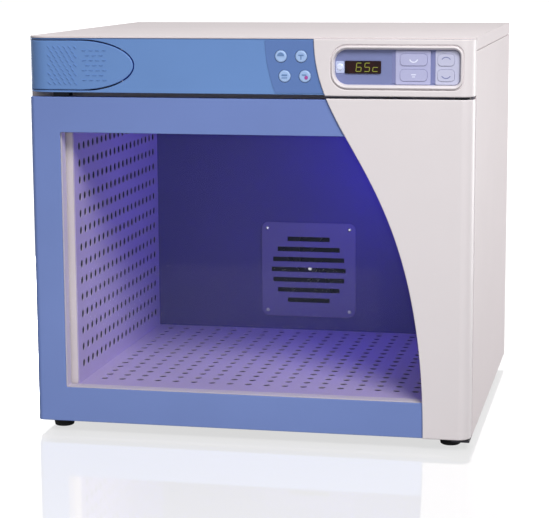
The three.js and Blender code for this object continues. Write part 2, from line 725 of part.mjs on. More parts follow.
place('chamber', 'left_duct_panel', ductPanel(-1), 'liner');
place('chamber', 'right_duct_panel', ductPanel(1), 'liner');
place('chamber', 'floor_deck', floorDeck(), 'liner');
place('chamber', 'chamber_back', chamberBack(), 'liner');
place('chamber', 'chamber_ceiling', ceiling(), 'liner');
place('chamber', 'liner_shell', linerShell(), 'steel');
place('chamber', 'insulation_wrap', insulationWrap(), 'wool');
place('chamber', 'back_insulation', backInsulation(), 'wool');
place('chamber', 'chamber_lamp', chamberLamp(), 'lamp');

// Warm air
function returnGrille() {
  const y = [Y_CHAMBER_BACK - SEAT - SHEET, Y_CHAMBER_BACK - SEAT];
  const half = GRILLE_SIZE / 2;
  const outline = roundedBox([-half, half], [Z_BLOWER - half, Z_BLOWER + half], GRILLE_RADIUS, GRILLE_RADIUS);
  let grille = frontPlate(outline, y);
  const pitch = GRILLE_SPREAD / GRILLE_SLOTS;
  for (let i = 0; i < GRILLE_SLOTS; i += 1) {
    const rise = (i - (GRILLE_SLOTS - 1) / 2) * pitch;
    const reach = Math.sqrt(GRILLE_REACH ** 2 - rise ** 2);
    const z = Z_BLOWER + rise;
    const slot = [z - GRILLE_SLOT_HEIGHT / 2, z + GRILLE_SLOT_HEIGHT / 2];
    grille = grille.subtract(block([-reach, reach], past(y), slot));
  }
  return grille;
}

const impellerY = [Y_CHAMBER_BACK + IMPELLER_GAP, Y_CHAMBER_BACK + IMPELLER_GAP + IMPELLER_WIDTH];

function impeller() {
  const disc = [impellerY[1] - BLADE_THICKNESS, impellerY[1]];
  let wheel = rodY(0, 0, HUB_RADIUS, impellerY).add(rodY(0, 0, IMPELLER_RADIUS, disc, 24));
  for (let i = 0; i < IMPELLER_BLADES; i += 1) {
    const blade = new THREE.BoxGeometry(
      IMPELLER_RADIUS - 2 * HUB_RADIUS,
      IMPELLER_WIDTH - BLADE_THICKNESS / 2,
      BLADE_THICKNESS,
    );
    blade.translate(0, (impellerY[0] + impellerY[1]) / 2 - BLADE_THICKNESS / 4, 0);
    blade.rotateY(BLADE_SWEEP);
    blade.translate(IMPELLER_RADIUS / 2 + HUB_RADIUS / 2, 0, 0);
    blade.rotateY((i * 2 * Math.PI) / IMPELLER_BLADES);
    wheel = wheel.add(solid(blade));
  }
  const bore = past(impellerY);
  return wheel.subtract(rodY(0, 0, SHAFT_RADIUS + SEAT, bore));
}

function motor() {
  const y = [Y_LINER_BACK + LINER_SHELL + SEAT, Y_LINER_BACK + LINER_SHELL + SEAT + MOTOR_LENGTH];
  return rodY(0, Z_BLOWER, MOTOR_RADIUS, y, 32).subtract(
    rodY(0, Z_BLOWER, SHAFT_RADIUS + SEAT, [y[0] - CUT, y[0] + MOTOR_LENGTH / 2]),
  );
}

function heatingElement() {
  const yRing = (impellerY[0] + impellerY[1]) / 2;
  const yTail = Y_LINER_BACK + LINER_SHELL + ELEMENT_TAIL;
  const spots = [];
  for (let i = 0; i <= ELEMENT_STEPS; i += 1) {
    const deg = elementEnds[0] + ((elementEnds[1] - elementEnds[0]) * i) / ELEMENT_STEPS;
    const [x, z] = elementSpot(deg);
    const atEnd = i === 0 || i === ELEMENT_STEPS;
    spots.push(new THREE.Vector3(x, atEnd ? yRing + ELEMENT_BEND : yRing, z));
  }
  const tail = (at, y) => new THREE.Vector3(at.x, y, at.z);
  const path = new THREE.CatmullRomCurve3(
    [
      tail(spots[0], yTail),
      tail(spots[0], (yTail + yRing) / 2),
      ...spots,
      tail(spots[ELEMENT_STEPS], (yTail + yRing) / 2),
      tail(spots[ELEMENT_STEPS], yTail),
    ],
    false,
    'centripetal',
  );
  const section = new THREE.Shape();
  section.absarc(0, 0, ELEMENT_TUBE, 0, 2 * Math.PI, false);
  const sweep = { extrudePath: path, steps: ELEMENT_RINGS, curveSegments: 3, bevelEnabled: false };
  return solid(new THREE.ExtrudeGeometry(section, sweep));
}

function probe() {
  const seat = Y_LINER_BACK + LINER_SHELL + SEAT;
  const flange = [seat, seat + PROBE_FLANGE];
  const z = Z_BLOWER + PROBE_RISE;
  return rodY(PROBE_X, z, PROBE_RADIUS, [Y_LINER_BACK - PROBE_REACH, flange[1] + PROBE_TAIL], 12).add(
    rodY(PROBE_X, z, PROBE_FLANGE_RADIUS, flange, 12),
  );
}

const shaftY = [impellerY[0], Y_LINER_BACK + LINER_SHELL + MOTOR_LENGTH / 2 - SHAFT_SHORT];
place('air', 'return_grille', returnGrille(), 'liner');
place('air', 'blower_impeller', impeller(), 'steel', [0, 0, Z_BLOWER]);
place('air', 'blower_shaft', rodY(0, 0, SHAFT_RADIUS, shaftY, 16), 'steel', [0, 0, Z_BLOWER]);
place('air', 'blower_motor', motor(), 'black');
place('air', 'heating_element', heatingElement(), 'steel');
place('air', 'temperature_probe', probe(), 'steel');

// White panels of the header and the door share one profile and one curved edge
function whitePanel(z, yEnd) {
  const left = HALF - SWOOSH_TOP_WIDTH - CORNER_RADIUS;
  const inner = CORNER_RADIUS - PANEL_THICKNESS;
  const outside = planOutline([left, HALF], [Y_PANEL, yEnd], 0, CORNER_RADIUS);
  const inside = planOutline(
    [left - CUT, HALF - PANEL_THICKNESS],
    [Y_PANEL + PANEL_THICKNESS, yEnd + CUT],
    0,
    inner,
  );
  return planPlate(outside, z)
    .subtract(planPlate(inside, past(z)))
    .intersect(rightOfSwoosh(0, past([Y_PANEL, yEnd])));
}

// Console outline, grown outwards by a margin
const consoleX = [HALF - SWOOSH_TOP_WIDTH + CONSOLE_GAP, HALF - CONSOLE_MARGIN];
const innerX = [consoleX[0] + BEZEL_SIDE, consoleX[1] - BEZEL_SIDE];
const innerWidth = innerX[1] - innerX[0];
const innerHalf = CONSOLE_HEIGHT / 2 - BEZEL_EDGE;

function consoleOutline(grow) {
  return roundedBox(
    [innerX[0] - grow, innerX[1] + grow],
    [Z_HEADER_MID - innerHalf - grow, Z_HEADER_MID + innerHalf + grow],
    CONSOLE_LEFT_RADIUS + grow,
    CONSOLE_RIGHT_RADIUS + grow,
  );
}

// Latch paddle outline, grown outwards by a margin
const paddleShoulder = -HALF + PADDLE_LENGTH - PADDLE_NOSE;

function paddleOutline(grow) {
  const rise = PADDLE_HALF_HEIGHT + grow;
  const shape = new THREE.Shape();
  shape.moveTo(-WIDTH, Z_HEADER_MID - rise);
  shape.lineTo(paddleShoulder, Z_HEADER_MID - rise);
  shape.absellipse(paddleShoulder, Z_HEADER_MID, PADDLE_NOSE + grow, rise, -Math.PI / 2, Math.PI / 2, false);
  shape.lineTo(-WIDTH, Z_HEADER_MID + rise);
  return shape;
}

const xPivot = -HALF + PADDLE_PIVOT;
const yPivot = Y_FASCIA + PADDLE_PIVOT_SETBACK;
const xMagnet = -HALF + MAGNET_INSET;
const groove = PADDLE_GROOVE / 2;
const earReach = (xPivot - PADDLE_EAR_HALF_WIDTH - paddleShoulder) / (PADDLE_NOSE + groove);
const earRise = (PADDLE_HALF_HEIGHT + groove) * Math.sqrt(Math.max(0.1, 1 - earReach ** 2)) + PADDLE_EAR_GAP;

// Mode keys stand beside the curved edge in two rows
const modeKeys = [MODE_ROW_UP, -MODE_ROW_DOWN].flatMap((rise) => {
  const z = Z_HEADER_MID + rise;
  return [MODE_KEY_FAR, MODE_KEY_NEAR].map((away) => [swooshAt(z) - away, z]);
});

function keyHoles(shape, y) {
  return modeKeys.reduce((rest, [x, z]) => rest.subtract(rodY(x, z, MODE_KEY_RADIUS + RUN, y, 16)), shape);
}

function headerFascia() {
  const yEnd = Y_BODY - SEAT;
  const skin = FRAME_SKIN;
  const outside = planOutline([-HALF, X_FASCIA], [Y_FASCIA, yEnd], HEADER_END_RADIUS, FASCIA_RADIUS);
  const inside = planOutline(
    [-HALF + skin, X_FASCIA - skin],
    [Y_FASCIA + skin, yEnd + CUT],
    HEADER_END_RADIUS - skin,
    FASCIA_RADIUS - skin,
  );
  const hollow = [Z_HEADER + skin, Z_HEADER_TOP - skin];
  const front = past([Y_FASCIA, Y_FASCIA + skin]);
  const slot = [
    [xMagnet - MAGNET_HALF_WIDTH - RUN, xMagnet + MAGNET_HALF_WIDTH + RUN],
    [Y_FASCIA + MAGNET_FRONT - RUN, Y_FASCIA + MAGNET_BACK + RUN],
    past([Z_HEADER, Z_HEADER + skin]),
  ];
  const ear = (z) =>
    block(
      [xPivot - PADDLE_EAR_HALF_WIDTH, xPivot + PADDLE_EAR_HALF_WIDTH],
      [Y_FASCIA + skin / 2, yPivot + PADDLE_BOSS_RADIUS + CUT],
      z,
    );
  const shell = planPlate(outside, [Z_HEADER, Z_HEADER_TOP])
    .subtract(planPlate(inside, hollow))
    .subtract(frontPlate(paddleOutline(groove), [Y_FASCIA - CUT, Y_BODY - PADDLE_HOLE_STOP], 14))
    .subtract(frontPlate(consoleOutline(BEZEL_COLLAR + SEAT), front))
    .subtract(block(...slot))
    .add(ear([Z_HEADER_MID + earRise, Z_HEADER_MID + earRise + PADDLE_EAR]))
    .add(ear([Z_HEADER_MID - earRise - PADDLE_EAR, Z_HEADER_MID - earRise]))
    .subtract(rodZ(xPivot, yPivot, PADDLE_PIN_RADIUS + SEAT, grown(hollow, -CUT), 12));
  return keyHoles(shell, front);
}

function keypadOverlay() {
  const y = [Y_FASCIA - SEAT - OVERLAY_THICKNESS, Y_FASCIA - SEAT];
  const through = past(y);
  const z = [Z_HEADER + OVERLAY_MARGIN, Z_HEADER_TOP - OVERLAY_MARGIN];
  const sheet = block([0, HALF], y, z)
    .intersect(rightOfSwoosh(OVERLAY_WIDTH, through))
    .subtract(rightOfSwoosh(SEAT, through));
  return keyHoles(sheet, through);
}

const yTray = Y_PANEL + TRAY_SETBACK;

function consoleBezel() {
  const hollow = frontPlate(consoleOutline(0), past([Y_FRONT, yTray]));
  const outline = roundedBox(
    consoleX,
    [Z_HEADER_MID - CONSOLE_HEIGHT / 2, Z_HEADER_MID + CONSOLE_HEIGHT / 2],
    CONSOLE_LEFT_RADIUS + BEZEL_SIDE,
    CONSOLE_RIGHT_RADIUS + BEZEL_SIDE,
  );
  return frontPlate(outline, [Y_FRONT, Y_PANEL - SEAT])
    .add(frontPlate(consoleOutline(BEZEL_COLLAR), [Y_FRONT, yTray - SEAT]))
    .subtract(hollow);
}

// Console pads and their keys
function consoleShares(start, width, key) {
  return { start: start * innerWidth, width: width * innerWidth, key: key * innerWidth };
}

const padFront = yTray - SEAT - PAD_THICKNESS;
const pads = {
  set: consoleShares(SET_PAD_START_SHARE, SET_PAD_WIDTH_SHARE, SET_KEY_WIDTH_SHARE),
  arrow: consoleShares(ARROW_PAD_START_SHARE, ARROW_PAD_WIDTH_SHARE, ARROW_KEY_WIDTH_SHARE),
};

function padKey(pad, side, grow, y) {
  const mid = innerX[0] + pad.start + pad.width / 2;
  const z = Z_HEADER_MID + side * PAD_KEY_RISE;
  const reach = PAD_KEY_HEIGHT / 2 + grow;
  const radius = PAD_KEY_RADIUS + grow;
  return frontPlate(
    roundedBox([mid - pad.key / 2 - grow, mid + pad.key / 2 + grow], [z - reach, z + reach], radius, radius),
    y,
    3,
  );
}

function keyWindows(shape, list, y) {
  return list.reduce(
    (rest, pad) => rest.subtract(padKey(pad, 1, RUN, y)).subtract(padKey(pad, -1, RUN, y)),
    shape,
  );
}

function consoleTray() {
  const y = [yTray, yTray + TRAY_THICKNESS];
  return keyWindows(frontPlate(consoleOutline(TRAY_LAP), y), Object.values(pads), past(y));
}

function consolePad(pad) {
  const x = [innerX[0] + pad.start, innerX[0] + pad.start + pad.width];
  const z = [Z_HEADER_MID - PAD_HALF_HEIGHT, Z_HEADER_MID + PAD_HALF_HEIGHT];
  const plate = frontPlate(roundedBox(x, z, PAD_RADIUS, PAD_RADIUS), [padFront, yTray - SEAT], 3);
  return keyWindows(plate, [pad], past([padFront, yTray]));
}

function controlBoard() {
  const x = grown(innerX, -BOARD_INSET);
  const z = grown([Z_HEADER_MID, Z_HEADER_MID], innerHalf + BOARD_OVERHANG);
  const back = Y_BODY - SEAT;
  let board = block(x, [back - BOARD_STANDOFF - BOARD_THICKNESS, back - BOARD_STANDOFF], z);
  for (const px of grown(x, -BOARD_POST_INSET)) {
    for (const pz of grown(z, -BOARD_POST_INSET)) {
      board = board.add(rodY(px, pz, BOARD_POST_RADIUS, [back - BOARD_STANDOFF - CUT, back], 10));
    }
  }
  return board;
}

const headerPanel = whitePanel([Z_HEADER - HEADER_PANEL_LIP, Z_HEADER_TOP], Y_BODY - SEAT).subtract(
  frontPlate(consoleOutline(BEZEL_COLLAR + SEAT), [Y_PANEL - CUT, Y_FASCIA]),
);
const displayLeft = innerX[0] + DISPLAY_START_SHARE * innerWidth;
const displayX = [displayLeft, displayLeft + DISPLAY_WIDTH_SHARE * innerWidth];
const displayZ = [Z_HEADER_MID - DISPLAY_HEIGHT / 2, Z_HEADER_MID + DISPLAY_HEIGHT / 2];
const displayOutline = roundedBox(displayX, displayZ, DISPLAY_RADIUS, DISPLAY_RADIUS);
const onTray = [yTray - SEAT - DISPLAY_THICKNESS, yTray - SEAT];
place('header', 'header_fascia', headerFascia(), 'blue');
place('header', 'header_panel', headerPanel, 'white');
place('header', 'keypad_overlay', keypadOverlay(), 'deepBlue');
place('controls', 'console_bezel', consoleBezel(), 'white');
place('controls', 'console_tray', consoleTray(), 'tray');
place('controls', 'display_window', frontPlate(displayOutline, onTray, 3), 'black');
place('controls', 'set_pad', consolePad(pads.set), 'lavender');
place('controls', 'arrow_pad', consolePad(pads.arrow), 'white');
place('controls', 'control_board', controlBoard(), 'board');

const indicatorProfile = [
  [0, -DISPLAY_THICKNESS],
  [INDICATOR_FACE, -DISPLAY_THICKNESS],
  [INDICATOR_RADIUS, -INDICATOR_RIM],
  [INDICATOR_RADIUS, 0],
  [0, 0],
];
const indicatorAt = [innerX[0] + INDICATOR_START, yTray - SEAT, Z_HEADER_MID];
place('controls', 'indicator_lens', solid(turned(indicatorProfile, 20)), 'white', indicatorAt);

const keyDepth = KEY_PROUD + FRAME_SKIN + KEY_STEM;
const keyProfile = [
  [0, 0],
  [MODE_KEY_RADIUS - KEY_CHAMFER, 0],
  [MODE_KEY_RADIUS, KEY_CHAMFER],
  [MODE_KEY_RADIUS, keyDepth],
  [0, keyDepth],
];
modeKeys.forEach(([x, z], i) => {
  const at = [x, Y_FASCIA - KEY_PROUD, z];
  place('controls', `mode_key_${i + 1}`, solid(turned(keyProfile, 16)), 'keyBlue', at);
});
const padKeyY = [padFront - PAD_KEY_PROUD, yTray + TRAY_THICKNESS + PAD_KEY_STEM];
place('controls', 'set_key_upper', padKey(pads.set, 1, 0, padKeyY), 'lavender');
place('controls', 'set_key_lower', padKey(pads.set, -1, 0, padKeyY), 'lavender');
place('controls', 'arrow_key_up', padKey(pads.arrow, 1, 0, padKeyY), 'white');
place('controls', 'arrow_key_down', padKey(pads.arrow, -1, 0, padKeyY), 'white');

// Latch: a paddle on a vertical pin whose wedge lifts the magnet carrier
function latchPaddle() {
  const yEnd = Y_FASCIA + PADDLE_LEG;
  const skin = PADDLE_THICKNESS;
  const far = -HALF + PADDLE_LENGTH + HEADER_END_RADIUS;
  const outside = planOutline([-HALF, far], [Y_FASCIA, Y_BODY - SEAT], HEADER_END_RADIUS, 0);
  const inside = planOutline(
    [-HALF + skin, far + CUT],
    [Y_FASCIA + skin, Y_BODY - SEAT + CUT],
    HEADER_END_RADIUS - skin,
    0,
  );
  const top = Z_HEADER + RAMP_TOP - WEDGE_GAP;
  const wedge = [
    [Y_FASCIA + skin - CUT, top - WEDGE_HEIGHT],
    [Y_FASCIA + WEDGE_TIP, top - WEDGE_HEIGHT],
    [Y_FASCIA + WEDGE_TIP, top - (WEDGE_TIP - MAGNET_FRONT)],
    [Y_FASCIA + MAGNET_FRONT, top],
    [Y_FASCIA + skin - CUT, top],
  ];
  const boss = [Z_HEADER_MID - earRise + RUN, Z_HEADER_MID + earRise - RUN];
  return planPlate(outside, [Z_HEADER - CUT, HEIGHT])
    .subtract(planPlate(inside, [Z_HEADER - 2 * CUT, HEIGHT + CUT]))
    .intersect(frontPlate(paddleOutline(-groove), [Y_FASCIA - CUT, yEnd], 14))
    .add(rodZ(xPivot, yPivot, PADDLE_BOSS_RADIUS, boss, 18))
    .add(sidePlate(wedge, [xMagnet - WEDGE_HALF_WIDTH, xMagnet + WEDGE_HALF_WIDTH]))
    .subtract(rodZ(xPivot, yPivot, PADDLE_PIN_RADIUS + SEAT, past(boss), 12));
}

function latchMagnet() {
  const [front, back, notch] = [Y_FASCIA + MAGNET_FRONT, Y_FASCIA + MAGNET_BACK, Y_FASCIA + MAGNET_NOTCH];
  const foot = Z_DOOR_TOP + RUN;
  const ramp = Z_HEADER + RAMP_TOP;
  return sidePlate(
    [
      [front, foot],
      [back, foot],
      [back, Z_HEADER + MAGNET_RISE],
      [front, Z_HEADER + MAGNET_RISE],
      [front, ramp],
      [notch, ramp - (MAGNET_NOTCH - MAGNET_FRONT)],
      [notch, Z_HEADER + MAGNET_STEP],
      [front, Z_HEADER + MAGNET_STEP],
    ],
    [xMagnet - MAGNET_HALF_WIDTH, xMagnet + MAGNET_HALF_WIDTH],
  );
}

const paddlePinZ = [Z_HEADER_MID - earRise - PADDLE_EAR, Z_HEADER_MID + earRise + PADDLE_EAR];
place('latch', 'latch_paddle', latchPaddle(), 'blue');
place('latch', 'paddle_pin', rodZ(xPivot, yPivot, PADDLE_PIN_RADIUS, paddlePinZ, 12), 'steel');
place('latch', 'latch_magnet', latchMagnet(), 'steel');

// Door
const windowX = [-X_WINDOW, X_WINDOW];
const windowZ = [Z_WINDOW, Z_WINDOW_TOP];
const strikeX = grown([xMagnet, xMagnet], MAGNET_HALF_WIDTH + STRIKE_MARGIN);
const strikeY = [Y_FASCIA + MAGNET_FRONT, Y_DOOR_BACK - RIM_SHORT - STRIKE_SHORT];
const bushRadius = PIN_RADIUS + SEAT + BUSH_WALL;

function bushHoles(shape) {
  const deep = BUSH_LENGTH + BUSH_ROOM;
  return shape
    .subtract(rodZ(X_HINGE, Y_HINGE, bushRadius + SEAT, [Z_DOOR_TOP - deep, Z_DOOR_TOP + CUT]))
    .subtract(rodZ(X_HINGE, Y_HINGE, bushRadius + SEAT, [Z_DOOR - CUT, Z_DOOR + deep]));
}

function doorFrame() {
  const yEnd = Y_DOOR_BACK - RIM_SHORT;
  const skin = FRAME_SKIN;
  const outside = planOutline([X_DOOR, X_FASCIA], [Y_FASCIA, yEnd], DOOR_EDGE_RADIUS, FASCIA_RADIUS);
  const inside = planOutline(
    [X_DOOR + skin, X_FASCIA - skin],
    [Y_FASCIA + skin, yEnd + CUT],
    DOOR_EDGE_RADIUS - skin,
    FASCIA_RADIUS - skin,
  );
  const strikeSeat = [Z_DOOR_TOP - STRIKE_SHEET - SEAT, Z_DOOR_TOP + CUT];
  const frame = planPlate(outside, [Z_DOOR, Z_DOOR_TOP])
    .subtract(planPlate(inside, [Z_DOOR + skin, Z_DOOR_TOP - skin]))
    .subtract(block(windowX, [Y_FASCIA - CUT, Y_FASCIA + 2 * skin], windowZ))
    .subtract(block(grown(strikeX, SEAT), grown(strikeY, SEAT), strikeSeat));
  return bushHoles(frame);
}

const glassY = [Y_FASCIA + FRAME_SKIN + SEAT, Y_FASCIA + FRAME_SKIN + SEAT + GLASS_THICKNESS];

function doorLiner() {
  const inset = FRAME_SKIN + SEAT;
  const outline = planOutline(
    [X_DOOR + inset, X_FASCIA - inset],
    [Y_FASCIA + inset, Y_DOOR_BACK],
    DOOR_EDGE_RADIUS - inset,
    FASCIA_RADIUS - inset,
  );
  const rebate = GLASS_LAP + SEAT;
  const liner = planPlate(outline, [Z_DOOR + inset, Z_DOOR_TOP - inset])
    .subtract(block(windowX, [Y_FASCIA, Y_DOOR_BACK + CUT], windowZ))
    .subtract(block(grown(windowX, rebate), [Y_FASCIA, glassY[1] + SEAT], grown(windowZ, rebate)));
  return bushHoles(liner);
}

function gasket() {
  const y = [Y_DOOR_BACK + SEAT, Y_BODY - SEAT];
  const outer = GASKET_INSET + GASKET_WIDTH;
  return block(grown(windowX, outer), y, grown(windowZ, outer)).subtract(
    block(grown(windowX, GASKET_INSET), past(y), grown(windowZ, GASKET_INSET)),
  );
}

function bush(zFlange, zSleeve) {
  const all = past([Math.min(zFlange[0], zSleeve[0]), Math.max(zFlange[1], zSleeve[1])]);
  return rodZ(0, 0, BUSH_FLANGE_RADIUS, zFlange)
    .add(rodZ(0, 0, bushRadius, zSleeve))
    .subtract(rodZ(0, 0, PIN_RADIUS + SEAT, all));
}

const upperFlange = [Z_DOOR_TOP + SEAT, Z_UPPER_PLATE - SEAT];
const lowerFlange = [FOOT_HEIGHT, Z_DOOR - SEAT];
const upperSleeve = [Z_DOOR_TOP - BUSH_LENGTH, upperFlange[1]];
const lowerSleeve = [lowerFlange[0], Z_DOOR + BUSH_LENGTH];
const hingeAt = [X_HINGE, Y_HINGE, 0];
place('door', 'door_frame', doorFrame(), 'blue');
const doorPanelZ = [Z_DOOR, Z_DOOR_TOP + DOOR_PANEL_LIP];
place('door', 'door_panel', whitePanel(doorPanelZ, Y_DOOR_BACK - PANEL_LEG_SHORT), 'white');
place('door', 'door_liner', doorLiner(), 'white');
place('door', 'door_glass', block(grown(windowX, GLASS_LAP), glassY, grown(windowZ, GLASS_LAP)), 'glass');
place('door', 'door_gasket', gasket(), 'black');
place('door', 'upper_hinge_bush', bush(upperFlange, upperSleeve), 'black', hingeAt);
place('door', 'lower_hinge_bush', bush(lowerFlange, lowerSleeve), 'black', hingeAt);
place('door', 'door_strike', block(strikeX, strikeY, [Z_DOOR_TOP - STRIKE_SHEET, Z_DOOR_TOP]), 'steel');

// Power inlet with its rocker switch
function powerInlet() {
  const [w, h] = [INLET_HALF_WIDTH, INLET_HALF_HEIGHT];
  const floor = Y_END - SOCKET_DEPTH;
  const socket = roundedBox(
    [-SOCKET_HALF_WIDTH, SOCKET_HALF_WIDTH],
    grown([-SOCKET_DROP, -SOCKET_DROP], SOCKET_HALF_HEIGHT),
    SOCKET_RADIUS,
    SOCKET_RADIUS,
  );
  const wellX = [-ROCKER_HALF_WIDTH - RUN, ROCKER_HALF_WIDTH + RUN];
  const wellZ = grown([ROCKER_RISE, ROCKER_RISE], ROCKER_HALF_HEIGHT + ROCKER_ROOM);
  const stubX = grown(wellX, ROCKER_STUB_LENGTH);
  const lip = [grown([-w, w], INLET_LIP), [Y_BACK + SEAT, Y_END], grown([-h, h], INLET_LIP)];
  let inlet = block([-w, w], [Y_BACK - INLET_DEPTH, Y_END], [-h, h])
    .add(block(...lip))
    .subtract(frontPlate(socket, [floor, Y_END + CUT], 4))
    .subtract(block(wellX, [Y_END - ROCKER_WELL, Y_END + CUT], wellZ))
    .subtract(rodX(Y_END - ROCKER_PIVOT_SETBACK, ROCKER_RISE, ROCKER_STUB + SEAT, stubX, 12));
  for (const [x, rise] of CONTACT_SPOTS) {
    const z = rise - SOCKET_DROP;
    const contactX = grown([x, x], CONTACT_HALF_WIDTH);
    const contactZ = grown([z, z], CONTACT_HALF_HEIGHT);
    inlet = inlet.add(block(contactX, [floor - CUT, Y_END - CONTACT_SHORT], contactZ));
  }
  return inlet;
}

function rocker() {
  const [w, h] = [ROCKER_HALF_WIDTH, ROCKER_HALF_HEIGHT];
  const profile = [
    [-ROCKER_KEEL, -ROCKER_KEEL_HALF],
    [-ROCKER_SIDE, -h],
    [ROCKER_CROWN, -h],
    [ROCKER_DIP, 0],
    [ROCKER_CROWN, h],
    [-ROCKER_SIDE, h],
    [-ROCKER_KEEL, ROCKER_KEEL_HALF],
  ];
  return sidePlate(profile, [-w, w]).add(rodX(0, 0, ROCKER_STUB, grown([-w, w], ROCKER_STUB_LENGTH), 12));
}

const zInlet = HEIGHT - INLET_DROP;
place('power', 'power_inlet', powerInlet(), 'black', [X_INLET, 0, zInlet]);
const switchAt = [X_INLET, Y_END - ROCKER_PIVOT_SETBACK, zInlet + ROCKER_RISE];
const rockerMesh = place('power', 'power_rocker', rocker(), 'black', switchAt);
rockerMesh.rotation.x = THREE.MathUtils.degToRad(ROCKER_TILT_DEG);

export default cabinet;
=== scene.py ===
# Blanket warming cabinet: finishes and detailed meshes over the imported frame.
# Metres, +Z up, the front faces -Y, the origin is on the floor under the middle of the cabinet.
import json
import math

import bmesh
import bpy
from mathutils import Matrix, Vector

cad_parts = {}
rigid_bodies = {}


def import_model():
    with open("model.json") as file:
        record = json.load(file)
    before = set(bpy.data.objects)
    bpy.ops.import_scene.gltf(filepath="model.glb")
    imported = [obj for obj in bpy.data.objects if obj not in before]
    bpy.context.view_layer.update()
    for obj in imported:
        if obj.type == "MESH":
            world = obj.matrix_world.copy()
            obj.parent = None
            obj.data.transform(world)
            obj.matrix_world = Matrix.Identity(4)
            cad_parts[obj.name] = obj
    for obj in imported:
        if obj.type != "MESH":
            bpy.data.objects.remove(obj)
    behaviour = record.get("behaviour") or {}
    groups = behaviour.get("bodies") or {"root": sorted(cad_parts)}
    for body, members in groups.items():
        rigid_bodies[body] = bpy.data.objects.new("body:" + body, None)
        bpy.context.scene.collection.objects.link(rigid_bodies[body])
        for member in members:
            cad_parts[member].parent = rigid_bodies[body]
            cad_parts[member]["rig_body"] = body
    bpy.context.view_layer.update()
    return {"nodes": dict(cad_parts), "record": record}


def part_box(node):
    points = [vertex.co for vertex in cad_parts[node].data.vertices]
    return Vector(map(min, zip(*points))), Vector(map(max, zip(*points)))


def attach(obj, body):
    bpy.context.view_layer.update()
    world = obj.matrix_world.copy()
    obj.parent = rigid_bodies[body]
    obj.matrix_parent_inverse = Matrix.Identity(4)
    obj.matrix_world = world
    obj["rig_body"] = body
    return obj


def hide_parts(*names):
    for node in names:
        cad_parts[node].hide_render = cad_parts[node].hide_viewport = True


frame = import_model()

# Camera
CAMERA_AT = (0.663, -3.232, 0.812)
CAMERA_YAW_DEG = 11.96
CAMERA_PITCH_DEG = 9.52
CAMERA_ROLL_DEG = -0.31
CAMERA_LENS = 117.03
SENSOR_WIDTH = 36

# Curved edge of the white panels, as the four points of its Bezier curve in X and Z
SWOOSH = ((0.118, 0.686), (0.118, 0.501), (0.302, 0.473), (0.302, 0.018))
SWOOSH_STEPS = 96
SWOOSH_HALVINGS = 40

# Folded corners of the front pieces, seen from above
PANEL_CORNER = 0.022
FASCIA_CORNER = 0.018
HEADER_END_CORNER = 0.040
DOOR_EDGE_CORNER = 0.010
FOLD_STEPS = 12
SMALL_CORNER_STEPS = 3

# Sheet thicknesses and edge radii of the front pieces
PANEL_THICKNESS = 0.0037
PANEL_EDGE = 0.0017
SKIN = 0.003
DOOR_SKIN_EDGE = 0.0011
HEADER_SKIN_EDGE = 0.0007
SHELL_WALL_INSET = 0.0001
SHELL_WALL_EDGE = 0.0003
WINDOW_CORNER = 0.003

# Faces that meet at more than this stay sharp, and at less than this become one
SHARP = math.radians(38)
FLAT = math.radians(0.5)

# Points closer than this are one
WELD = 1e-6
FOLD_WELD = 1e-7

nodes_of = frame["nodes"]
slot_of = {part["node"]: part["material_slot"] for part in frame["record"]["subparts"]}


# Finishes: the cloudiness of a tone, the spread of its gloss and the strength of its grain
CLOUD_DETAIL = 5
CLOUD_LOW = 0.3
CLOUD_HIGH = 0.7
GRAIN_DETAIL = 3
GLOSS_LOW = 0.8
GLOSS_HIGH = 1.2
RELIEF_STRENGTH = 0.5

# Clear glass: its tint, how much it covers from the front and at a glancing angle, and its faint film
GLASS_TINT = (0.3, 0.36, 0.5, 1)
GLASS_IOR = 1.5
GLASS_BLEND = 0.25
GLASS_COVER = (0.015, 0.3)
GLASS_FILM = (0.02, 0.09)
SMEAR_SCALE = 14


def linear(rgb):
    """Linear colour of a screen colour given from 0 to 255."""
    parts = [value / 255 for value in rgb]
    return [c / 12.92 if c <= 0.04045 else ((c + 0.055) / 1.055) ** 2.4 for c in parts]


def tinted(color, amount):
    return (*[min(1.0, c * amount) for c in color], 1.0)


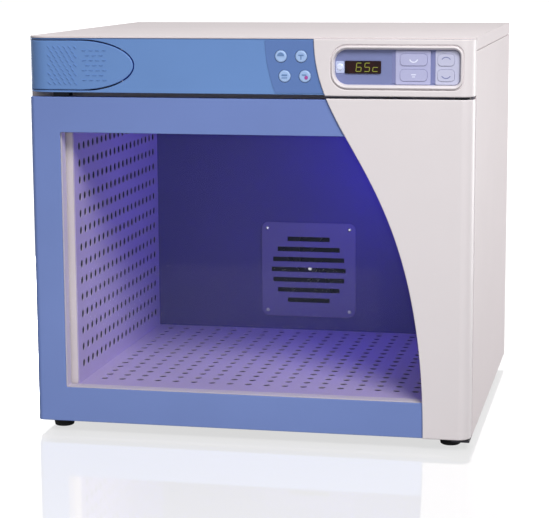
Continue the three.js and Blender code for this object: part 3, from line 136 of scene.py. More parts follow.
def surface(
    name,
    rgb,
    rough,
    grain=700,
    depth=0.00005,
    mottle=0.04,
    stretch=(1, 1, 1),
    other=None,
    cloud_scale=7,
    **sockets,
):
    """A finish with a faint cloudiness in tone and gloss, and a fine grain in relief."""
    color = linear(rgb)
    second = linear(other or rgb)
    material = bpy.data.materials.new(name)
    material.use_nodes = True
    nodes = material.node_tree.nodes
    links = material.node_tree.links
    shader = nodes["Principled BSDF"]
    place = nodes.new("ShaderNodeTexCoord")
    turn = nodes.new("ShaderNodeMapping")
    turn.inputs["Scale"].default_value = stretch
    cloud = nodes.new("ShaderNodeTexNoise")
    cloud.inputs["Scale"].default_value = cloud_scale
    cloud.inputs["Detail"].default_value = CLOUD_DETAIL
    tone = nodes.new("ShaderNodeValToRGB")
    tone.color_ramp.elements[0].position = CLOUD_LOW
    tone.color_ramp.elements[1].position = CLOUD_HIGH
    tone.color_ramp.elements[0].color = tinted(color, 1 - mottle)
    tone.color_ramp.elements[1].color = tinted(second, 1 + mottle)
    fine = nodes.new("ShaderNodeTexNoise")
    fine.inputs["Scale"].default_value = grain
    fine.inputs["Detail"].default_value = GRAIN_DETAIL
    gloss = nodes.new("ShaderNodeMapRange")
    gloss.inputs["To Min"].default_value = GLOSS_LOW * rough
    gloss.inputs["To Max"].default_value = min(1, GLOSS_HIGH * rough)
    relief = nodes.new("ShaderNodeBump")
    relief.inputs["Strength"].default_value = RELIEF_STRENGTH
    relief.inputs["Distance"].default_value = depth
    links.new(place.outputs["Object"], cloud.inputs["Vector"])
    links.new(place.outputs["Object"], turn.inputs["Vector"])
    links.new(turn.outputs["Vector"], fine.inputs["Vector"])
    links.new(cloud.outputs["Fac"], tone.inputs["Fac"])
    links.new(tone.outputs["Color"], shader.inputs["Base Color"])
    links.new(fine.outputs["Fac"], gloss.inputs["Value"])
    links.new(gloss.outputs["Result"], shader.inputs["Roughness"])
    links.new(fine.outputs["Fac"], relief.inputs["Height"])
    links.new(relief.outputs["Normal"], shader.inputs["Normal"])
    for socket, value in sockets.items():
        shader.inputs[socket.replace("_", " ")].default_value = value
    return material


def clear_glass(name):
    """Thin clear glass: see-through from the front, brighter at a glancing angle."""
    material = bpy.data.materials.new(name)
    material.use_nodes = True
    nodes = material.node_tree.nodes
    links = material.node_tree.links
    shader = nodes["Principled BSDF"]
    shader.inputs["Base Color"].default_value = GLASS_TINT
    shader.inputs["IOR"].default_value = GLASS_IOR
    facing = nodes.new("ShaderNodeLayerWeight")
    facing.inputs["Blend"].default_value = GLASS_BLEND
    cover = nodes.new("ShaderNodeMapRange")
    cover.inputs["To Min"].default_value = GLASS_COVER[0]
    cover.inputs["To Max"].default_value = GLASS_COVER[1]
    place = nodes.new("ShaderNodeTexCoord")
    smear = nodes.new("ShaderNodeTexNoise")
    smear.inputs["Scale"].default_value = SMEAR_SCALE
    film = nodes.new("ShaderNodeMapRange")
    film.inputs["To Min"].default_value = GLASS_FILM[0]
    film.inputs["To Max"].default_value = GLASS_FILM[1]
    links.new(facing.outputs["Facing"], cover.inputs["Value"])
    links.new(cover.outputs["Result"], shader.inputs["Alpha"])
    links.new(place.outputs["Object"], smear.inputs["Vector"])
    links.new(smear.outputs["Fac"], film.inputs["Value"])
    links.new(film.outputs["Result"], shader.inputs["Roughness"])
    return material


BRUSHED_X = (0.03, 1, 1)
BRUSHED_Y = (1, 0.03, 1)

# Finishes of the material slots, as screen colours from 0 to 255 and a roughness
FINISH = {
    "white_paint": surface("white_paint", (226, 216, 218), 0.5, grain=420, depth=0.00006, mottle=0.012),
    "liner_paint": surface("liner_paint", (224, 214, 216), 0.5, grain=420, depth=0.00005, mottle=0.03),
    # Liner aluminium of the chamber walls: a pale metal, with a lavender tint that paints in the chamber
    # lamp's violet light
    "liner_aluminium": surface("liner_aluminium", (194, 180, 210), 0.45, grain=900, stretch=BRUSHED_Y),
    # Aluminium of the chamber shell in a dark indigo: a painted shade for the deep chamber
    "shell_aluminium": surface(
        "shell_aluminium", (44, 42, 62), 0.5, grain=900, stretch=BRUSHED_Y, Metallic=0.6
    ),
    "black_rubber": surface("black_rubber", (26, 26, 28), 0.8, grain=1500, depth=0.0001, mottle=0.15),
    "grey_rubber": surface("grey_rubber", (96, 97, 102), 0.75, grain=1500, depth=0.0001, mottle=0.1),
    "steel": surface("steel", (188, 189, 192), 0.32, grain=1200, stretch=BRUSHED_X, Metallic=1.0),
    "motor_paint": surface("motor_paint", (44, 44, 48), 0.5, grain=900, mottle=0.1),
    "insulation": surface("insulation", (206, 188, 124), 0.95, grain=260, depth=0.0012, mottle=0.22),
    "lamp_lens": surface(
        "lamp_lens", (150, 136, 255), 0.3, Emission_Color=(0.36, 0.28, 1.0, 1), Emission_Strength=2.4
    ),
    "blue_plastic": surface(
        "blue_plastic", (114, 135, 194), 0.42, grain=620, mottle=0.03, Specular_IOR_Level=0.3
    ),
    "overlay_blue": surface("overlay_blue", (90, 121, 180), 0.5, grain=1600, depth=0.00003, mottle=0.03),
    "key_blue": surface("key_blue", (162, 190, 232), 0.4, grain=1200, depth=0.00003),
    "white_plastic": surface(
        "white_plastic", (226, 219, 221), 0.46, grain=900, depth=0.00003, mottle=0.012
    ),
    "door_liner_plastic": surface("door_liner_plastic", (216, 208, 210), 0.5, grain=900, depth=0.00003),
    "tray_blue": surface("tray_blue", (120, 128, 174), 0.45, grain=900, depth=0.00003),
    "lavender_plastic": surface("lavender_plastic", (178, 179, 214), 0.45, grain=900, depth=0.00003),
    "display_black": surface(
        "display_black",
        (14, 15, 12),
        0.25,
        grain=300,
        depth=0.000004,
        mottle=0.2,
        other=(44, 16, 18),
        cloud_scale=60,
        Specular_IOR_Level=0.2,
    ),
    "board_green": surface("board_green", (48, 112, 64), 0.5, grain=800, mottle=0.12),
    "clear_glass": clear_glass("clear_glass"),
    "bush_nylon": surface("bush_nylon", (52, 52, 55), 0.55, grain=1200),
    "black_plastic": surface("black_plastic", (34, 34, 37), 0.5, grain=1000, depth=0.00008, mottle=0.1),
}

# Finishes of single pieces that differ from their slot
HEADER_BLUE = surface(
    "header_blue", (107, 143, 200), 0.42, grain=620, mottle=0.03, Specular_IOR_Level=0.25
)
# Saturated blue of the walls in the groove round the paddle: a painted shade that makes the groove read
# navy
GROOVE_SHADE_BLUE = surface("groove_shade_blue", (62, 118, 226), 0.5, grain=620, mottle=0.03)
DARK_STEEL = surface("dark_steel", (58, 57, 62), 0.45, grain=1200, stretch=BRUSHED_X, Metallic=0.7)
FERRITE = surface("ferrite", (38, 36, 40), 0.6, grain=700, depth=0.0001, mottle=0.12)
DIGIT_GLOW = surface(
    "digit_glow", (120, 122, 46), 0.4, Emission_Color=(0.3, 0.32, 0.03, 1), Emission_Strength=0.3
)
INDICATOR = surface(
    "indicator_lens", (214, 222, 246), 0.25, Emission_Color=(0.62, 0.72, 1.0, 1), Emission_Strength=0.05
)
# Back wall of the chamber: the liner metal in a dark indigo, a painted shade for the back of the deep
# chamber
SHADED_BACK_WALL = surface(
    "shaded_back_wall", (84, 78, 142), 0.5, grain=900, stretch=BRUSHED_X, Specular_IOR_Level=0.15
)
# Return grille: the liner metal in a darker lavender, a painted shade between the lit side walls and the
# dark back wall
SHADED_GRILLE = surface(
    "grille", (112, 105, 164), 0.45, grain=900, stretch=BRUSHED_X, Specular_IOR_Level=0.25
)
PALE_PLASTIC = surface("pale_plastic", (194, 195, 220), 0.42, grain=900, depth=0.00003)
# Darker blue of the pads' left flanks: a painted shade along their left sides
SHADED_FLANK_PLASTIC = surface("shaded_flank_plastic", (130, 134, 182), 0.45, grain=900, depth=0.00003)
SEAT_PLASTIC = surface("seat_plastic", (188, 198, 232), 0.42, grain=900, depth=0.00003)
MARK_INK = surface("mark_ink", (126, 132, 176), 0.5)
MARK_PALE = surface("mark_pale", (228, 231, 250), 0.45)
MARK_BLUE = surface("mark_blue", (104, 136, 184), 0.45)
MARK_RED = surface("mark_red", (168, 72, 150), 0.45)


# Mesh helpers
def joined(*parts):
    """One mesh out of several, which are used up."""
    whole = bmesh.new()
    for part in parts:
        mesh = bpy.data.meshes.new("part")
        part.to_mesh(mesh)
        part.free()
        whole.from_mesh(mesh)
        bpy.data.meshes.remove(mesh)
    return whole


def piece(name, bm, slot, body, *replaced, edge=0.0, segments=2, material=None):
    """A finished piece in the scene, with rounded edges, that rides on a body."""
    bmesh.ops.recalc_face_normals(bm, faces=bm.faces)
    mesh = bpy.data.meshes.new(name)
    bm.to_mesh(mesh)
    bm.free()
    mesh.shade_smooth()
    mesh.set_sharp_from_angle(angle=SHARP)
    mesh.materials.append(material or FINISH[slot])
    obj = bpy.data.objects.new(name, mesh)
    bpy.context.scene.collection.objects.link(obj)
    if edge:
        rounding = obj.modifiers.new("edges", "BEVEL")
        rounding.width = edge
        rounding.segments = segments
        rounding.limit_method = "ANGLE"
        rounding.angle_limit = SHARP
    normals = obj.modifiers.new("normals", "WEIGHTED_NORMAL")
    normals.keep_sharp = True
    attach(obj, body)
    if replaced:
        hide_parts(*replaced)
    return obj


def stand_in(node, bm, edge=0.0, segments=2, material=None):
    """A detailed piece in the place of one node, with that node's finish and body."""
    return piece(
        node + "_form",
        bm,
        slot_of[node],
        nodes_of[node]["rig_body"],
        node,
        edge=edge,
        segments=segments,
        material=material,
    )


def dressed(node, edge=0.0005, segments=2, material=None):
    """A node's own solid with clean faces and rounded edges."""
    bm = bmesh.new()
    bm.from_mesh(nodes_of[node].data)
    bmesh.ops.remove_doubles(bm, verts=bm.verts, dist=WELD)
    bmesh.ops.dissolve_limit(bm, angle_limit=FLAT, verts=bm.verts, edges=bm.edges)
    return stand_in(node, bm, edge, segments, material)


def spaced(first, last, count):
    return [first + (last - first) * i / (count - 1) for i in range(count)]


def swoosh_x(z):
    """Where the curved edge is at a height."""
    low, high = 0.0, 1.0
    for _ in range(SWOOSH_HALVINGS):
        t = (low + high) / 2
        s = 1 - t
        weights = (s**3, 3 * s * s * t, 3 * s * t * t, t**3)
        if sum(w * p[1] for w, p in zip(weights, SWOOSH)) > z:
            low = t
        else:
            high = t
    return sum(w * p[0] for w, p in zip(weights, SWOOSH))


def swoosh_line(z0, z1, shift=0.0, count=SWOOSH_STEPS):
    return [(swoosh_x(z) + shift, z) for z in spaced(z0, z1, count)]


def arc(x, z, radius, start_deg, end_deg, steps, tall=1.0):
    """Points on an arc, or on an ellipse of another height."""
    turns = [math.radians(a) for a in spaced(start_deg, end_deg, steps + 1)]
    return [(x + radius * math.cos(a), z + tall * radius * math.sin(a)) for a in turns]


def round_outline(x, z, radius, points):
    return arc(x, z, radius, 0, 360 - 360 / points, points - 1)


def rounded_box(x0, x1, z0, z1, left, right, steps=8):
    """A box outline with one corner radius at its left and one at its right."""
    return (
        arc(x1 - right, z0 + right, right, -90, 0, steps)
        + arc(x1 - right, z1 - right, right, 0, 90, steps)
        + arc(x0 + left, z1 - left, left, 90, 180, steps)
        + arc(x0 + left, z0 + left, left, 180, 270, steps)
    )


def flat_plate(outer, holes, thick, edge, fine=3):
    """A flat plate with rounded edges, lying in X and Y with its middle at Z = 0."""
    curve = bpy.data.curves.new("outline", "CURVE")
    curve.dimensions = "2D"
    curve.fill_mode = "BOTH"
    curve.extrude = thick / 2 - edge
    curve.bevel_depth = edge
    curve.bevel_resolution = fine
    curve.offset = -edge
    for loop in [outer, *holes]:
        spline = curve.splines.new("POLY")
        spline.points.add(len(loop) - 1)
        for point, (u, v) in zip(spline.points, loop):
            point.co = (u, v, 0, 1)
        spline.use_cyclic_u = True
    obj = bpy.data.objects.new("outline", curve)
    bpy.context.scene.collection.objects.link(obj)
    depsgraph = bpy.context.evaluated_depsgraph_get()
    mesh = bpy.data.meshes.new_from_object(obj.evaluated_get(depsgraph))
    bm = bmesh.new()
    bm.from_mesh(mesh)
    bpy.data.meshes.remove(mesh)
    bpy.data.objects.remove(obj)
    bpy.data.curves.remove(curve)
    bmesh.ops.remove_doubles(bm, verts=bm.verts, dist=WELD)
    return bm


def upright(bm, back):
    """Stands a flat plate up to face -Y, with its back at that depth."""
    low = min(v.co.z for v in bm.verts)
    for v in bm.verts:
        v.co = Vector((v.co.x, back - (v.co.z - low), v.co.y))
    return bm


def corner_sweep(radius, deep):
    """How far a folded corner turns: a quarter, or as far as the depth of the fold lets it."""
    return math.acos(max(0.0, 1 - deep / radius))


def folded_length(radius, deep, leg):
    """How much longer a flat plate is than its front, with its end folded back to the depth of a leg."""
    sweep = corner_sweep(radius, deep)
    turn = min(sweep, corner_sweep(radius, leg))
    rest = (leg - radius * (1 - math.cos(turn))) / math.sin(turn)
    return radius * turn + rest - radius * math.sin(sweep)


def fold(bm, thick, face, left=None, right=None):
    """Stands a plate up and folds its ends back; left and right are (end x, corner radius, depth)."""
    folds = []
    for side, end in ((-1, left), (1, right)):
        if end:
            edge, radius, deep = end
            sweep = corner_sweep(radius, deep)
            folds.append((side, edge - side * radius * math.sin(sweep), radius, sweep))
    for side, start, radius, sweep in folds:
        for step in range(FOLD_STEPS + 1):
            at = start + side * radius * sweep * step / FOLD_STEPS
            bmesh.ops.bisect_plane(
                bm,
                geom=bm.verts[:] + bm.edges[:] + bm.faces[:],
                dist=FOLD_WELD,
                plane_co=(at, 0, 0),
                plane_no=(1, 0, 0),
            )
    for v in bm.verts:
        u, z, under = v.co.x, v.co.y, thick / 2 - v.co.z
        x, y = u, face + under
        for side, start, radius, sweep in folds:
            run = side * (u - start)
            if run > 0:
                turn = min(run / radius, sweep)
                rest = run - radius * turn
                x = start + side * ((radius - under) * math.sin(turn) + rest * math.cos(turn))
                y = face + radius - (radius - under) * math.cos(turn) + rest * math.sin(turn)
        v.co = Vector((x, y, z))
    return bm


def lathe(profile, sides=32):
    """A turned body about Z from (radius, height) points."""
    bm = bmesh.new()
    rings = []
    for radius, height in profile:
        count = sides if radius > 0 else 1
        turns = [2 * math.pi * i / count for i in range(count)]
        ring = [(radius * math.cos(a), radius * math.sin(a), height) for a in turns]
        rings.append([bm.verts.new(co) for co in ring])
    for a, b in zip(rings, rings[1:]):
        for i in range(sides):
            j = (i + 1) % sides
            corners = dict.fromkeys([a[i % len(a)], a[j % len(a)], b[j % len(b)], b[i % len(b)]])
            bm.faces.new(corners)
    return bm


def facing_front(bm, x, y, z):
    """Turns a lathed body to point at -Y and moves it."""
    matrix = Matrix.Translation((x, y, z)) @ Matrix.Rotation(math.pi / 2, 4, "X")
    bmesh.ops.transform(bm, matrix=matrix, verts=bm.verts)
    return bm


def loft(rings, closed=False):
    """Skins a row of equal rings; a closed row joins its last ring to its first."""
    bm = bmesh.new()
    rows = [[bm.verts.new(co) for co in ring] for ring in rings]
    pairs = list(zip(rows, rows[1:]))
    if closed:
        pairs.append((rows[-1], rows[0]))
    for a, b in pairs:
        for i in range(len(a)):
            j = (i + 1) % len(a)
            bm.faces.new((a[i], a[j], b[j], b[i]))
    if not closed:
        bm.faces.new(rows[0])
        bm.faces.new(rows[-1])
    return bm


def prism(points, y0, y1):
    """A plain slab of an outline in X and Z, between two depths."""
    return loft([[(x, y, z) for x, z in points] for y in (y0, y1)])


def cells(low, high, first, last, count):
    """Grid lines of a row of equal cells, with a plain margin at each end."""
    return [low, *spaced(low + first, high - last, count + 1), high]


# Points on the rim of a hole, a quarter of them on each side of its cell, from a corner of the cell on
HOLE_POINTS = 12
HOLE_START_DEG = -45


def perforated(lines_u, lines_v, radius):
    """A flat sheet in U and V with a round hole in every cell but those of its margins."""
    bm = bmesh.new()
    side = HOLE_POINTS // 4
    end_deg = HOLE_START_DEG + 360 - 360 / HOLE_POINTS
    last_u = len(lines_u) - 2
    last_v = len(lines_v) - 2
    for i in range(last_u + 1):
        for j in range(last_v + 1):
            (a, b), (c, d) = lines_u[i : i + 2], lines_v[j : j + 2]
            corners = [(b, c), (b, d), (a, d), (a, c)]
            rim = []
            for (u0, v0), (u1, v1) in zip(corners, corners[1:] + corners[:1]):
                rim += [(u0 + (u1 - u0) * k / side, v0 + (v1 - v0) * k / side) for k in range(side)]
            outer = [bm.verts.new((u, v, 0)) for u, v in rim]
            if 0 < i < last_u and 0 < j < last_v:
                ring = arc((a + b) / 2, (c + d) / 2, radius, HOLE_START_DEG, end_deg, HOLE_POINTS - 1)
                inner = [bm.verts.new((u, v, 0)) for u, v in ring]
                for k in range(HOLE_POINTS):
                    n = (k + 1) % HOLE_POINTS
                    bm.faces.new((outer[k], outer[n], inner[n], inner[k]))
            else:
                bm.faces.new(outer)
    bmesh.ops.remove_doubles(bm, verts=bm.verts, dist=WELD)
    return bm


def thickened(bm, thick):
    """Gives a sheet its thickness, away from its normal."""
    bmesh.ops.recalc_face_normals(bm, faces=bm.faces)
    bmesh.ops.solidify(bm, geom=bm.faces[:], thickness=thick)
    return bm


# White panels of the door and the header
def swoosh_panel(node, holes):
    low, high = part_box(node)
    deep = high.y - low.y
    right = high.x + folded_length(PANEL_CORNER, deep, deep)
    outer = swoosh_line(low.z, high.z) + [(right, high.z), (right, low.z)]
    bm = flat_plate(outer, holes, PANEL_THICKNESS, PANEL_EDGE)
    return stand_in(node, fold(bm, PANEL_THICKNESS, low.y, right=(high.x, PANEL_CORNER, deep)))


# Console outline: rings from the edge of its recess, at 0, to the foot of its rim, at 1, and beyond
bezel_low, bezel_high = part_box("console_bezel")
BEZEL_SIDE = 0.0065
BEZEL_EDGE = 0.0082
CONSOLE_LEFT = 0.021
CONSOLE_RIGHT = 0.010
PANEL_HOLE_SHARE = 1.0
FASCIA_HOLE_SHARE = 0.5


def console_ring(share):
    return rounded_box(
        bezel_low.x + BEZEL_SIDE * (1 - share),
        bezel_high.x - BEZEL_SIDE * (1 - share),
        bezel_low.z + BEZEL_EDGE * (1 - share),
        bezel_high.z - BEZEL_EDGE * (1 - share),
        CONSOLE_LEFT + BEZEL_SIDE * share,
        CONSOLE_RIGHT + BEZEL_SIDE * share,
    )


swoosh_panel("door_panel", [])
swoosh_panel("header_panel", [console_ring(PANEL_HOLE_SHARE)])


# Blue shells of the door and the header: a folded front with a top and a bottom wall
def plan_outline(x0, x1, face, back, left, right, steps=10):
    sweep = corner_sweep(left, back - face)
    outline = [(x0, back)] if left < back - face else []
    start_deg = 270 - math.degrees(sweep)
    outline += arc(x0 + left * math.sin(sweep), face + left, left, start_deg, 270, steps)
    outline += arc(x1 - right, face + right, right, 270, 360, steps)
    return outline + [(x1, back)]


def blue_shell(node, left_corner, edge, holes, material=None, inner_parts=()):
    low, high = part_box(node)
    deep = high.y - low.y
    left = low.x - folded_length(left_corner, deep, deep)
    right = high.x + folded_length(FASCIA_CORNER, deep, deep)
    outer = [(left, low.z), (right, low.z), (right, high.z), (left, high.z)]
    front = fold(
        flat_plate(outer, holes, SKIN, edge),
        SKIN,
        low.y,
        left=(low.x, left_corner, deep),
        right=(high.x, FASCIA_CORNER, deep),
    )
    inset = SKIN / 2
    plan = plan_outline(
        low.x + inset,
        high.x - inset,
        low.y + inset,
        high.y,
        left_corner - inset,
        FASCIA_CORNER - inset,
    )
    parts = [front, *inner_parts]
    for bottom in (low.z + SHELL_WALL_INSET, high.z - SKIN - SHELL_WALL_INSET):
        wall = flat_plate(plan, [], SKIN, SHELL_WALL_EDGE, fine=1)
        bmesh.ops.translate(wall, verts=wall.verts, vec=(0, 0, bottom + SKIN / 2))
        parts.append(wall)
    return stand_in(node, joined(*parts), material=material)


glass_low, glass_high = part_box("door_glass")
GLASS_LAP = 0.010
WINDOW_CORNER_STEPS = 4
window = rounded_box(
    glass_low.x + GLASS_LAP,
    glass_high.x - GLASS_LAP,
    glass_low.z + GLASS_LAP,
    glass_high.z - GLASS_LAP,
    WINDOW_CORNER,
    WINDOW_CORNER,
    WINDOW_CORNER_STEPS,
)
blue_shell("door_frame", DOOR_EDGE_CORNER, DOOR_SKIN_EDGE, [window])

# Latch paddle: a bullet outline that runs round the left end
fascia_low, fascia_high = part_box("header_fascia")
header_mid = (fascia_low.z + fascia_high.z) / 2
PADDLE_NOSE = 0.098
PADDLE_NOSE_STEPS = 40
PADDLE_HALF = 0.0425
PADDLE_SHOULDER = -0.287
PADDLE_GROOVE = 0.00125
PADDLE_THICKNESS = 0.004
PADDLE_EDGE = 0.0016
PADDLE_STRIP = 0.0037

# Walls behind both sides of the groove round the paddle, from the latch magnet to the nose; their
# saturated blue paints the navy shade inside the groove
GROOVE_DEPTH = 0.014
GROOVE_WALL = 0.0015
MAGNET_ROOM = 0.004

# Ears behind the header's front that hold the paddle's pin
EAR_HALF_WIDTH = 0.008
EAR_BEHIND_PIN = 0.0055
EAR_HEIGHT = 0.005
EAR_CORNER = 0.001


def bullet(left, grow):
    rise = PADDLE_HALF + grow
    reach = PADDLE_NOSE + grow
    nose = arc(PADDLE_SHOULDER, header_mid, reach, -90, 90, PADDLE_NOSE_STEPS, rise / reach)
    return [(left, header_mid - rise), *nose, (left, header_mid + rise)]


# Round keys of the keypad, and the room round each in the header's front
KEYS = ["mode_key_1", "mode_key_2", "mode_key_3", "mode_key_4"]
KEY_ROOM = 0.0005
KEY_HOLE_POINTS = 32


def middle(node):
    low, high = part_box(node)
    return (low + high) / 2


def key_hole(node):
    low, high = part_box(node)
    at = middle(node)
    return round_outline(at.x, at.z, (high.x - low.x) / 2 + KEY_ROOM, KEY_HOLE_POINTS)


def pin_ear(bottom):
    pin = middle("paddle_pin")
    outline = rounded_box(
        pin.x - EAR_HALF_WIDTH,
        pin.x + EAR_HALF_WIDTH,
        bottom,
        bottom + EAR_HEIGHT,
        EAR_CORNER,
        EAR_CORNER,
        SMALL_CORNER_STEPS,
    )
    return prism(outline, fascia_low.y + SKIN / 2, pin.y + EAR_BEHIND_PIN)


pin_low, pin_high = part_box("paddle_pin")
pin_ears = [pin_ear(pin_low.z), pin_ear(pin_high.z - EAR_HEIGHT)]
key_holes = [key_hole(node) for node in KEYS]
fascia_deep = fascia_high.y - fascia_low.y
fascia_left = fascia_low.x - folded_length(HEADER_END_CORNER, fascia_deep, fascia_deep)
paddle_hole = bullet(fascia_left + PADDLE_STRIP, PADDLE_GROOVE)
blue_shell(
    "header_fascia",
    HEADER_END_CORNER,
    HEADER_SKIN_EDGE,
    [paddle_hole, console_ring(FASCIA_HOLE_SHARE), *key_holes],
    HEADER_BLUE,
    pin_ears,
)

paddle_low, paddle_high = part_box("latch_paddle")
paddle_leg = paddle_high.y - paddle_low.y
paddle_left = fascia_low.x - folded_length(HEADER_END_CORNER, fascia_deep, paddle_leg)
paddle = fold(
    flat_plate(bullet(paddle_left, -PADDLE_GROOVE), [], PADDLE_THICKNESS, PADDLE_EDGE),
    PADDLE_THICKNESS,
    paddle_low.y,
    left=(fascia_low.x, HEADER_END_CORNER, fascia_deep),
)
stand_in("latch_paddle", paddle, material=HEADER_BLUE)


def groove_wall(inside, front):
    """A wall of the bullet outline, open at the left, from a depth behind the header's front."""
    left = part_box("latch_magnet")[1].x + MAGNET_ROOM
    outline = bullet(left, inside + GROOVE_WALL) + bullet(left, inside)[::-1]
    return prism(outline, fascia_low.y + front, fascia_low.y + GROOVE_DEPTH)


# Both walls take the saturated blue that paints the navy shade in the groove
paddle_skirt = groove_wall(-PADDLE_GROOVE - GROOVE_WALL, PADDLE_THICKNESS - PADDLE_EDGE)
piece("paddle_skirt", paddle_skirt, "blue_plastic", "paddle", material=GROOVE_SHADE_BLUE)
paddle_well = groove_wall(PADDLE_GROOVE, SKIN - HEADER_SKIN_EDGE)
piece("paddle_well", paddle_well, "blue_plastic", "cabinet", material=GROOVE_SHADE_BLUE)

# Grip on the paddle: a field of slanted ribs and a field of level ones, as (left, right, half height,
# slant, step along the row, step between rows)
GRIPS = [
    (-0.337, -0.288, 0.030, 45, 0.0092, 0.0075),
    (-0.275, -0.236, 0.025, 0, 0.0118, 0.0083),
]
RIB_LENGTH = 0.0080
RIB_WIDTH = 0.0016
RIB_HEIGHT = 0.0011
RIB_SUNK = 0.0002
RIB_CREST = (0.8, 0.35)


def rib(x, z, slant):
    bm = bmesh.new()
    half, wide = RIB_LENGTH / 2, RIB_WIDTH / 2
    near, far = half - wide, half
    foot = [(-far, 0), (-near, -wide), (near, -wide), (far, 0), (near, wide), (-near, wide)]
    base = [bm.verts.new((u, RIB_SUNK, v)) for u, v in foot]
    crest = [bm.verts.new((RIB_CREST[0] * u, -RIB_HEIGHT, RIB_CREST[1] * v)) for u, v in foot]
    for i in range(len(foot)):
        j = (i + 1) % len(foot)
        bm.faces.new((base[i], base[j], crest[j], crest[i]))
    bm.faces.new(base)
    bm.faces.new(crest)
    matrix = Matrix.Translation((x, paddle_low.y, z)) @ Matrix.Rotation(math.radians(slant), 4, "Y")
    bmesh.ops.transform(bm, matrix=matrix, verts=bm.verts)
    return bm


ribs = []
for left, right, half, slant, along, between in GRIPS:
    rows = round(2 * half / between)
    for row in range(rows + 1):
        x = left + (row % 2) * along / 2
        while x < right:
            ribs.append(rib(x, header_mid + (row - rows / 2) * between, slant))
            x += along
piece("paddle_grip", joined(*ribs), "blue_plastic", "paddle", material=HEADER_BLUE)

# Keypad overlay between two copies of the curved edge
overlay_low, overlay_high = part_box("keypad_overlay")
OVERLAY_WIDTH = 0.082
OVERLAY_SHEET = 0.0005
OVERLAY_EDGE = 0.0002
OVERLAY_ROOM = 0.0003
OVERLAY_STEPS = 24
overlay_right = swoosh_line(overlay_low.z, overlay_high.z, -OVERLAY_ROOM, OVERLAY_STEPS)
overlay_left = swoosh_line(overlay_high.z, overlay_low.z, -OVERLAY_WIDTH, OVERLAY_STEPS)
overlay = flat_plate(overlay_right + overlay_left, key_holes, OVERLAY_SHEET, OVERLAY_EDGE, fine=1)
stand_in("keypad_overlay", upright(overlay, overlay_high.y))

# Mode keys: round caps with a soft shoulder and a shallow dish, as (share of radius, drop) points
KEY_CROWN = [(0, 0.0005), (0.45, 0.00035), (0.72, 0), (0.86, 0.0002), (0.95, 0.0008), (1, 0.0018)]
for node in KEYS:
    low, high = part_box(node)
    at = middle(node)
    radius = (high.x - low.x) / 2
    deep = high.y - low.y
    profile = [(share * radius, deep - drop) for share, drop in KEY_CROWN]
    profile += [(radius, 0), (0, 0)]
    stand_in(node, facing_front(lathe(profile), at.x, high.y, at.z))

# Console bezel: a bead with a groove outside it and a slope into the recess, as (share, depth) points
BEZEL_PROFILE = [
    (1.10, 0.0060),
    (1.10, 0.0042),
    (0.82, 0.0042),
    (0.77, 0.0034),
    (0.74, 0.0018),
    (0.69, 0.0008),
    (0.60, 0.0002),
    (0.50, 0.0),
    (0.40, 0.0002),
    (0.31, 0.0010),
    (0.22, 0.0024),
    (0.13, 0.0044),
    (0.05, 0.0068),
    (0.0, 0.0090),
    (0.0, 0.0103),
    (0.3, 0.0103),
    (0.3, 0.0060),
]
bezel_rings = []
for share, deep in BEZEL_PROFILE:
    bezel_rings.append([(x, bezel_low.y + deep, z) for x, z in console_ring(share)])
stand_in("console_bezel", loft(bezel_rings, closed=True))

# Pads: plates that fill the recess from top to bottom, each with a sloped left flank in a darker blue
# that paints the shade along the pad's left side
PAD_ROOM = 0.0008
PAD_EDGE = 0.0005
PAD_CORNER = 0.002
PAD_SLOT_ROOM = 0.00025
PAD_KEY_CORNER = 0.006
PAD_FLANK = 0.006
PAD_STEPS = 6
recess_low = bezel_low.z + BEZEL_EDGE + PAD_ROOM
recess_high = bezel_high.z - BEZEL_EDGE - PAD_ROOM
tray_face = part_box("console_tray")[0].y


def key_slot(node):
    low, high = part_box(node)
    room = PAD_SLOT_ROOM
    corner = PAD_KEY_CORNER + room
    return rounded_box(
        low.x - room, high.x + room, low.z - room, high.z + room, corner, corner, PAD_STEPS
    )


def pad(node, left, right, right_corner, keys, material=None):
    low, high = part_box(node)
    outer = rounded_box(left, right, recess_low, recess_high, PAD_CORNER, right_corner, PAD_STEPS)
    plate = flat_plate(outer, [key_slot(key) for key in keys], high.y - low.y, PAD_EDGE, fine=2)
    inner = left + PAD_EDGE
    wedge = [(left - PAD_FLANK, tray_face), (inner, tray_face), (inner, low.y + PAD_EDGE)]
    ends = (recess_low + PAD_CORNER, recess_high - PAD_CORNER)
    flank = loft([[(x, y, z) for x, y in wedge] for z in ends])
    # The flank's darker blue paints the shade along the pad's left side
    piece(node + "_flank", flank, slot_of[node], nodes_of[node]["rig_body"], material=SHADED_FLANK_PLASTIC)
    return stand_in(node, upright(plate, high.y), material=material)


set_low, set_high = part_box("set_pad")
pad("set_pad", set_low.x, set_high.x - PAD_CORNER, PAD_CORNER, ["set_key_upper", "set_key_lower"])
pad(
    "arrow_pad",
    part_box("arrow_pad")[0].x + PAD_CORNER,
    bezel_high.x - BEZEL_SIDE - PAD_ROOM,
    CONSOLE_RIGHT - PAD_ROOM,
    ["arrow_key_up", "arrow_key_down"],
    PALE_PLASTIC,
)
TRAY_EDGE = 0.0008
CONSOLE_EDGE = 0.0004
BOARD_EDGE = 0.0002
SOFT_SEGMENTS = 3
dressed("console_tray", TRAY_EDGE, SOFT_SEGMENTS)
for node in ("set_key_upper", "set_key_lower"):
    dressed(node, CONSOLE_EDGE, SOFT_SEGMENTS)
for node in ("arrow_key_up", "arrow_key_down"):
    dressed(node, CONSOLE_EDGE, SOFT_SEGMENTS, PALE_PLASTIC)
dressed("display_window", CONSOLE_EDGE)
dressed("indicator_lens", CONSOLE_EDGE, material=INDICATOR)
dressed("control_board", BOARD_EDGE)

